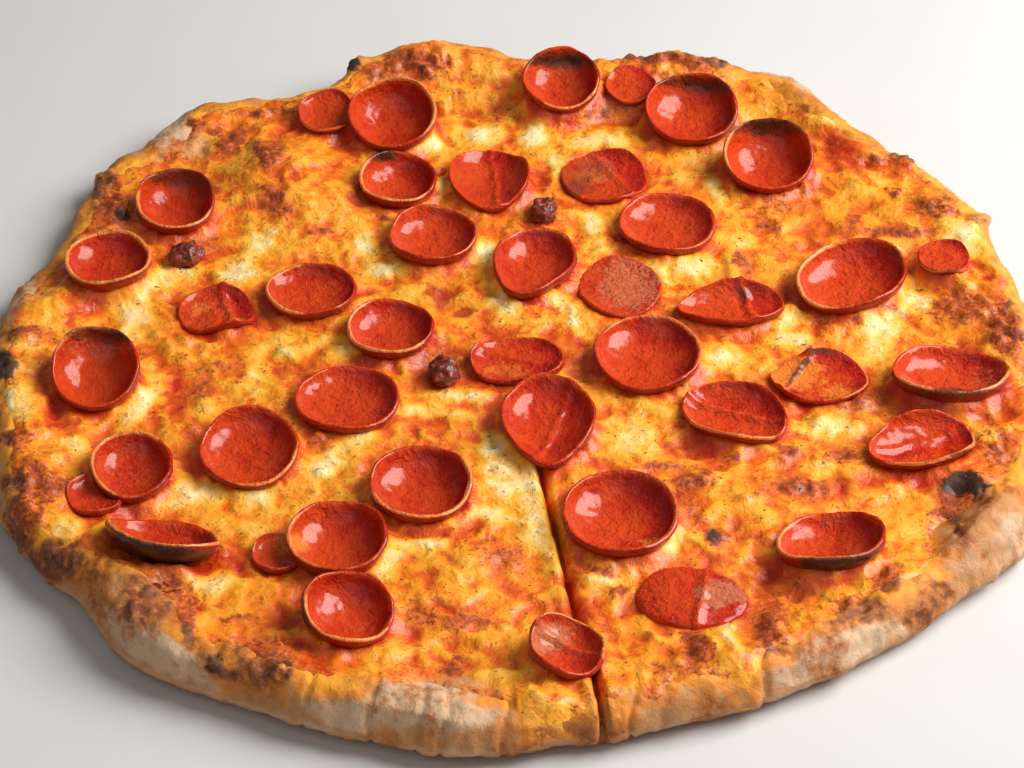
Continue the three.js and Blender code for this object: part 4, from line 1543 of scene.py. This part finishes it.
    def close(self, item: bpy.types.Object, drop: np.ndarray) -> None:
        """Cuts the sheet to its outline, folds its hem under and closes its base.

        Args:
            item: the sheet.
            drop: which of its vertices lie outside the outline.
        """
        with editing(item):
            bpy.ops.mesh.select_all(action="DESELECT")
        item.data.vertices.foreach_set("select", drop)
        with editing(item):
            bpy.ops.mesh.delete(type="VERT")
            bpy.ops.mesh.select_mode(type="EDGE")
            bpy.ops.mesh.select_all(action="DESELECT")
            bpy.ops.mesh.select_non_manifold()
            bpy.ops.mesh.extrude_edges_move()
        picked = np.zeros(len(item.data.vertices), bool)
        item.data.vertices.foreach_get("select", picked)
        points = read_points(item)
        points[picked, :2] *= self.hem_fold
        points[picked, 2] = self.bottom
        write_points(item, points)
        with editing(item):
            bpy.ops.mesh.fill_holes(sides=0)
            bpy.ops.mesh.select_all(action="SELECT")
            bpy.ops.mesh.normals_make_consistent(inside=False)
        bpy.ops.object.shade_smooth()

    def tint(
        self,
        item: bpy.types.Object,
        points: np.ndarray,
        inside: np.ndarray,
        near: np.ndarray,
        wide: np.ndarray,
        browned: np.ndarray,
        melt: np.ndarray,
    ) -> None:
        """Stores cream, oil (with painted shadow round the slices), toast, char, yellow, sauce, crests and
        crust at each vertex.

        Args:
            item: the sheet.
            points: its vertices in millimetres.
            inside: how far each lies inside the cheese's edge.
            near: oil and painted shadow close round the slices, from 0 to 1.
            wide: the same further out.
            browned: how browned the blisters are.
            melt: crests and strings, from about -1 to 1.
        """
        places = drifted(seen(points))
        wobble = 0.22 * grain(points, 5, 3, 51)
        drift = grain(points, 18, 2, 53)
        flow = self.border.flowing(points)
        cut = bell(across_cut(points), 1.4) * along_cut(points)
        pale = cover(PALE, places, wobble, 0.7)
        yellow = np.maximum(cover(YELLOW, places, wobble, 0.8), 0.25 + 0.7 * drift)
        yellow = np.maximum(yellow, flow)
        # Oil and painted shadow round the slices, darkening the cheese where they sit.
        oil_and_shadow_rings = np.maximum(wide, 0.95 * smoothstep(0.02, 0.5, near)) * (0.8 + 0.8 * grain(points, 8, 2, 55))
        oil = np.maximum(cover(OIL, places, wobble, 0.7) * 0.85, oil_and_shadow_rings)
        oil = np.maximum(oil, 0.9 * cut)
        edge = smoothstep(9, 0, inside + 3 * drift) * (0.42 + 0.5 * drift) * (1 - flow)
        toast = np.maximum(np.maximum(cover(TOAST, places, wobble, 0.7), browned), edge)
        char = cover(CHAR, places, wobble)
        sauce = cover(SAUCE, places, wobble, 0.6)
        crust = cover(CRUSTY, places, wobble) * smoothstep(26, 6, inside) * (1 - 0.8 * flow)
        pale_left = pale * (1 - 0.7 * cut)
        write_tint(item, "tint_a", [pale_left, oil * (1 - 0.5 * pale), toast * (1 - 0.8 * pale), char])
        write_tint(item, "tint_b", [yellow, sauce, 0.5 + 0.5 * melt, crust])


@dataclass(frozen=True)
class Sides:
    """How far each vertex of a slice lies on the rim's outer edge, its inner edge and the lower face."""

    outer: np.ndarray
    inner: np.ndarray
    lower: np.ndarray


@dataclass
class Slice:
    """One curled slice of pepperoni, rounded and roughened from its solid."""

    name: str
    solid: bpy.types.Object
    levels: int = 3
    fit_rounds: int = 2
    sharp: float = 55.0
    lump: float = 0.28
    lump_size: float = 5.5
    pit: float = 0.11
    pit_size: float = 1.8
    ruffle: float = 0.5
    ruffle_size: float = 8.0
    ruffle_lift: float = 0.6
    crease_width: float = 1.4
    crease_wander: float = 0.9
    shade: float = 0.74
    shade_range: float = 0.07

    @property
    def number(self) -> str:
        """The two figures that the slice's name ends with."""
        return self.name[-2:]

    def build(self, material: bpy.types.Material) -> bpy.types.Object:
        """Shapes, tints and dresses the piece.

        Args:
            material: what it is dressed in.

        Returns:
            The finished piece.
        """
        item = copied(self.solid, f"{self.name}_slice")
        write_tint(item, "sides", self.sort_faces(item))
        rounded(item, self.levels, self.fit_rounds)
        stored = item.data.color_attributes["sides"]
        sides = Sides(*read_rows(stored.data, "color", 4).T[:3])
        item.data.color_attributes.remove(stored)
        points, middle, out = self.roughened(item, np.maximum(sides.outer, sides.inner))
        crest, lee = self.crease(points)
        upper = 1 - sides.lower
        points[:, 2] += crest * upper
        write_points(item, points)
        places = seen(points)
        wobble = 0.35 * grain(points, 4, 3, 61)
        burnt = cover(BURNT_SLICE, places, wobble, 0.7)
        # Painted shade: where a slice's wall stands bare, its lower face takes the burnt colours.
        burnt = np.maximum(burnt, cover(BARE_WALL, places, wobble, 0.5) * sides.lower)
        rim = np.maximum(self.pale_rim(points, out, sides), 0.55 * np.clip(crest, 0, 1) * upper)
        pink = cover(PINK_SLICE, places, wobble) * upper
        amber = cover(AMBER_SLICE, places, wobble, 0.7) * upper
        # Painted shade: the walls away from the light are darkened and the top of the wall lightened in the
        # meat's colour.
        shade = self.tone_and_painted_shade(points, np.hypot(*(points - middle)[:, :2].T), out @ LAMP_WAY, sides.inner)
        write_tint(item, "tint_a", [rim, sides.lower, burnt, pink])
        # The crease's lee is painted shade, taken off the meat's lightness.
        write_tint(item, "tint_b", [shade - 0.25 * lee, amber])
        finish_piece(item, material, "pepperoni", self.name)
        return item

    def roughened(
        self, item: bpy.types.Object, edge: np.ndarray
    ) -> tuple[np.ndarray, np.ndarray, np.ndarray]:
        """The slice's vertices made lumpy, with its rim ruffled.

        Args:
            item: the rounded slice.
            edge: how far each vertex lies on the rim.

        Returns:
            The vertices, the slice's middle, and the level way outward at each vertex.
        """
        seed = float(self.number)
        points = read_points(item)
        move = self.lump * grain(points, self.lump_size, 2, seed)
        move = move + self.pit * grain(points, self.pit_size, 2, seed)
        points = points + read_normals(item) * move[:, None]
        middle = points.mean(axis=0)
        out = points - middle
        out[:, 2] = 0
        out /= np.maximum(np.linalg.norm(out, axis=1, keepdims=True), 1e-6)
        sway = self.ruffle * grain(points, self.ruffle_size, 2, seed + 60) * edge
        points = points + out * sway[:, None]
        points[:, 2] += self.ruffle_lift * sway
        return points, middle, out

    def crease(self, points: np.ndarray) -> tuple[np.ndarray, np.ndarray]:
        """The crease of a folded slice.

        Args:
            points: the slice's vertices in millimetres.

        Returns:
            The height of its crest at each vertex, and how far the vertex lies in its shade.
        """
        if self.number not in CREASES:
            return np.zeros(len(points)), np.zeros(len(points))
        x, y, way, height = CREASES[self.number]
        ahead = np.array([math.cos(math.radians(way)), math.sin(math.radians(way))])
        apart = (points[:, :2] - [x, y]) @ np.array([-ahead[1], ahead[0]])
        apart = apart + self.crease_wander * grain(points, 7, 2, 67)
        return height * bell(apart, self.crease_width), smoothstep(0, 2.5, apart) * smoothstep(9, 3, apart)

    def pale_rim(self, points: np.ndarray, out: np.ndarray, sides: Sides) -> np.ndarray:
        """How far each vertex lies in the pale edge, on the side of the slice where it shows.

        Args:
            points: the slice's vertices in millimetres.
            out: the level way outward at each.
            sides: where each lies on the slice.

        Returns:
            One value for each point.
        """
        edge = np.clip(4 * sides.outer * sides.inner, 0, 1)
        edge = np.maximum(edge, 0.9 * smoothstep(0.66, 0.90, sides.inner))
        facing, half, strength = LIGHT_RIM.get(self.number, LIGHT_RIM_ELSEWHERE)
        turn = np.degrees(np.arctan2(out[:, 1], out[:, 0])) - facing
        apart = np.abs((turn + 180) % 360 - 180)
        return edge * strength * smoothstep(half + 25, half - 15, apart + 18 * grain(points, 6, 2, 63))

    def tone_and_painted_shade(
        self, points: np.ndarray, reach: np.ndarray, facing: np.ndarray, inner: np.ndarray
    ) -> np.ndarray:
        """How light the meat is, with painted shade: the walls towards the lamp painted darker and the band
        above them painted lighter, as light falls, over a random tone.

        Args:
            points: the slice's vertices in millimetres.
            reach: distance of each from the slice's middle.
            facing: how far each lies towards the lamp.
            inner: how far each lies on the rim's inner edge.

        Returns:
            One value for each vertex.
        """
        draw = np.random.default_rng(int(self.number))
        wall = smoothstep(0.35, 0.9, reach / reach.max())
        # Painted shade: the wall towards the lamp is darkened as if out of its light, and the band above it
        # lightened as if lit.
        side = wall * (0.08 + 0.46 * np.clip(facing, -0.2, 1))
        brim = 0.45 * smoothstep(0.45, 0.80, inner) * np.clip(0.4 + facing, 0, 1)
        drawn = draw.uniform(-self.shade_range, self.shade_range)
        return self.shade + drawn - side + brim + 0.2 * grain(points, 9, 2, 65)

    def sort_faces(self, item: bpy.types.Object) -> tuple[np.ndarray, np.ndarray, np.ndarray]:
        """Which vertices lie on the rim's outer edge, on its inner edge and on the lower face.

        Args:
            item: the slice before it is rounded.

        Returns:
            The three shares, a value of 0 or 1 for each vertex.
        """
        work = bmesh.new()
        work.from_mesh(item.data)
        work.faces.ensure_lookup_table()
        region, groups = grouped(work, math.radians(self.sharp))
        faces = work.faces
        up = [sum(faces[i].normal.z * faces[i].calc_area() for i in group) for group in groups]
        size = [sum(faces[i].calc_area() for i in group) for group in groups]
        largest = sorted(range(len(groups)), key=lambda g: -size[g])[:2]
        upper = max(largest, key=lambda g: up[g])
        outer, inner, lower = np.zeros((3, len(work.verts)))
        for vert in work.verts:
            around = {region[face.index] for face in vert.link_faces}
            inner[vert.index] = float(upper in around and len(around) > 1)
            outer[vert.index] = float(upper not in around and len(around) > 1)
            lower[vert.index] = float(upper not in around)
        work.free()
        return outer, inner, lower


def grouped(work: bmesh.types.BMesh, limit: float) -> tuple[list[int], list[list[int]]]:
    """Sorts faces into groups whose neighbours meet at less than a limit angle.

    Args:
        work: the mesh, with its lookup table made.
        limit: the angle in radians.

    Returns:
        The group of each face, and the faces of each group.
    """
    region = [-1] * len(work.faces)
    groups: list[list[int]] = []
    for face in work.faces:
        if region[face.index] >= 0:
            continue
        queue, group = [face], []
        region[face.index] = len(groups)
        while queue:
            here = queue.pop()
            group.append(here.index)
            flat = [e for e in here.edges if len(e.link_faces) == 2 and e.calc_face_angle(0) < limit]
            for other in (other for edge in flat for other in edge.link_faces):
                if region[other.index] < 0:
                    region[other.index] = len(groups)
                    queue.append(other)
        groups.append(group)
    return region, groups


def copied(solid: bpy.types.Object, name: str) -> bpy.types.Object:
    """A copy of a CAD node with its own mesh, joined up and turned back into quads.

    Args:
        solid: the CAD node.
        name: the copy's name.

    Returns:
        The copy.
    """
    item = bpy.data.objects.new(name, solid.data.copy())
    item.data.name = name
    bpy.context.scene.collection.objects.link(item)
    item.data.materials.clear()
    for layer in list(item.data.uv_layers):
        item.data.uv_layers.remove(layer)
    with editing(item):
        bpy.ops.mesh.select_all(action="SELECT")
        bpy.ops.mesh.remove_doubles(threshold=WELD)
        bpy.ops.mesh.tris_convert_to_quads(face_threshold=QUAD_BEND, shape_threshold=QUAD_SKEW)
    if item.data.has_custom_normals:
        bpy.ops.mesh.customdata_custom_splitnormals_clear()
    bpy.ops.object.shade_smooth()
    return item


def rounded(item: bpy.types.Object, levels: int, rounds: int) -> None:
    """Subdivides a piece, first widening it so that the round shape keeps the size of the plain one.

    Args:
        item: the piece.
        levels: how often it is subdivided.
        rounds: how often it is widened.
    """
    bend = item.modifiers.new("round", "SUBSURF")
    bend.levels = levels
    bend.render_levels = levels
    target = read_points(item)
    for _ in range(rounds):
        graph = bpy.context.evaluated_depsgraph_get()
        now = read_points(item.evaluated_get(graph))[: len(target)]
        write_points(item, read_points(item) + FIT_SHARE * (target - now))
    pick(item)
    bpy.ops.object.modifier_apply(modifier=bend.name)


@dataclass
class Crumb:
    """A lump of browned meat."""

    name: str
    solid: bpy.types.Object
    levels: int = 3
    fit_rounds: int = 1
    lump: float = 1.3
    lump_size: float = 3.2

    def build(self, material: bpy.types.Material) -> bpy.types.Object:
        """Shapes and dresses the piece.

        Args:
            material: what it is dressed in.

        Returns:
            The finished piece.
        """
        item = copied(self.solid, f"{self.name}_lump")
        rounded(item, self.levels, self.fit_rounds)
        points = read_points(item)
        move = self.lump * grain(points, self.lump_size, 3, 71)
        write_points(item, points + read_normals(item) * move[:, None])
        finish_piece(item, material, "crumb", self.name)
        return item


@dataclass
class Herbs:
    """Flakes of dried herb strewn over the cheese, all one mesh."""

    ground: bpy.types.Object
    count: int = 420
    least: float = 0.3
    most: float = 0.85
    thin: float = 0.35
    longest: float = 2.0
    shortest: float = 0.8
    ragged: float = 0.3
    tilt: float = 0.4
    gap: float = 0.08
    spread: float = 158.0
    seed: int = 19

    def flake(self) -> tuple[np.ndarray, list[tuple[int, ...]]]:
        """The points and faces of one plain flake, 1 across.

        Returns:
            The points, one a row, and the vertices of each face.
        """
        bpy.ops.object.select_all(action="DESELECT")
        bpy.ops.mesh.primitive_ico_sphere_add(subdivisions=1, radius=0.5)
        flake = bpy.context.active_object
        shape = read_points(flake) * MM
        faces = [tuple(face.vertices) for face in flake.data.polygons]
        bpy.data.objects.remove(flake)
        return shape, faces

    def build(self) -> bpy.types.Object:
        """Models one flake, copies it over the cheese and dresses the result.

        Returns:
            The finished piece.
        """
        shape, faces = self.flake()
        draw = np.random.default_rng(self.seed)
        turn = draw.uniform(0, 2 * math.pi, self.count)
        out = self.spread * np.sqrt(draw.uniform(0, 1, self.count))
        places = np.column_stack([np.cos(turn) * out, np.sin(turn) * out])
        points: list[np.ndarray] = []
        polygons: list[tuple[int, ...]] = []
        for place, height in zip(places, Surface([self.ground]).top(places)):
            if math.isnan(height):
                continue
            size = draw.uniform(self.least, self.most)
            body = shape * [size * draw.uniform(self.shortest, self.longest), size, size * self.thin]
            body = body * (1 + draw.uniform(-self.ragged, self.ragged, (len(shape), 1)))
            spin = Matrix.Rotation(draw.uniform(0, 6.28), 3, "Z")
            spin = spin @ Matrix.Rotation(draw.uniform(-self.tilt, self.tilt), 3, "X")
            first = len(points) * len(shape)
            points.append(body @ np.array(spin).T + [*place, height + self.gap])
            polygons += [tuple(first + v for v in face) for face in faces]
        mesh = bpy.data.meshes.new("herb_flakes")
        mesh.from_pydata((np.concatenate(points) * MM).tolist(), [], polygons)
        item = bpy.data.objects.new("herb_flakes", mesh)
        bpy.context.scene.collection.objects.link(item)
        finish_piece(item, HerbFinish().material(), "cheese")
        return item


# ---------------------------------------------------------------- studio


@dataclass
class Studio:
    """Camera, lamps and floor."""

    width_angle: float = 19.0
    elevation: float = 39.48
    distance: float = 1013.3
    aim_right: float = 8.0
    aim_up: float = -29.9
    picture_width: int = 1024
    sensor: float = 36.0
    lamps: Sequence[tuple] = (
        # place in metres, size in metres, power in watts, colour
        ((0.84, 0.12, 0.80), 0.84, 24.8, (1.0, 0.97, 0.93)),
        ((-0.30, -1.0, 1.0), 1.6, 3.6, (1.0, 0.96, 0.91)),
    )
    air: tuple[float, ...] = (1.0, 0.95, 0.89, 1.0)
    air_strength: float = 0.14
    floor_size: float = 6.0
    floor_drop: float = 0.0005
    floor_greys: tuple[Colour, Colour] = ((0.60, 0.60, 0.60), (0.64, 0.64, 0.64))

    def camera(self) -> None:
        """Places the camera where the picture was taken from."""
        tilt = math.radians(self.elevation)
        half = math.tan(math.radians(self.width_angle / 2))
        place = Vector((0, -math.cos(tilt), math.sin(tilt))) * self.distance
        ahead = -place.normalized()
        right = Vector((1, 0, 0))
        up = right.cross(ahead)
        focal = self.picture_width / 2 / half
        swing = Matrix.Rotation(math.atan(self.aim_right / focal), 3, up)
        ahead, right = swing @ ahead, swing @ right
        nod = Matrix.Rotation(math.atan(self.aim_up / focal), 3, right)
        ahead = nod @ ahead
        up = right.cross(ahead)
        bpy.ops.object.camera_add()
        camera = bpy.context.active_object
        camera.name = "camera"
        turn = Matrix((right, up, -ahead)).transposed().to_4x4()
        camera.matrix_world = Matrix.Translation((place + Vector((0, 0, READ_LEVEL))) * MM) @ turn
        camera.data.sensor_width = self.sensor
        camera.data.lens = self.sensor / 2 / half
        bpy.context.scene.camera = camera

    def light(self) -> None:
        """Places the lamps and the soft surroundings."""
        for number, (place, size, power, colour) in enumerate(self.lamps):
            bpy.ops.object.light_add(type="AREA", location=place)
            lamp = bpy.context.active_object
            lamp.name = f"lamp_{number}"
            lamp.data.size = size
            lamp.data.energy = power
            lamp.data.color = colour
            lamp.rotation_euler = (-Vector(place)).to_track_quat("-Z", "Y").to_euler()
        world = bpy.data.worlds.new("surroundings")
        world.use_nodes = True
        background = world.node_tree.nodes["Background"]
        background.inputs["Color"].default_value = self.air
        background.inputs["Strength"].default_value = self.air_strength
        bpy.context.scene.world = world
        bpy.context.scene.view_settings.view_transform = "Standard"

    def floor(self) -> None:
        """Lays the pale floor."""
        bpy.ops.object.select_all(action="DESELECT")
        bpy.ops.mesh.primitive_plane_add(size=self.floor_size, location=(0, 0, -self.floor_drop))
        floor = bpy.context.active_object
        floor.name = "studio_floor"
        board = Board("studio_floor")
        shade = board.blend(*self.floor_greys, board.noise(60, 1))
        rough = 0.8 + board.noise(40, 1) * 0.05
        floor.data.materials.append(board.close(shade, rough, board.noise(9, 1), 0.01))


def main() -> None:
    """Builds the pizza piece by piece and sets up the studio."""
    logging.basicConfig(level=logging.INFO, format="%(name)s: %(message)s")
    nodes = frame["nodes"]
    detail = Detail.FULL
    studio = Studio()
    studio.camera()
    studio.light()
    studio.floor()
    border = Border(nodes["cheese"])
    crust = Dough(nodes["dough"], border, columns=detail.columns).build()
    meat = PepperoniFinish().material()
    slices = [
        Slice(name, nodes[name], levels=detail.levels).build(meat)
        for name in sorted(nodes)
        if name.startswith("pepperoni")
    ]
    browned = CrumbFinish().material()
    crumbs = [Crumb(name, nodes[name]).build(browned) for name in sorted(nodes) if name.startswith("crumb")]
    toppings = [*slices, *crumbs]
    sheet = Cheese(border, nodes["dough"], crust, toppings, step=detail.step).build()
    Herbs(sheet).build()


if __name__ == "__main__":
    main()
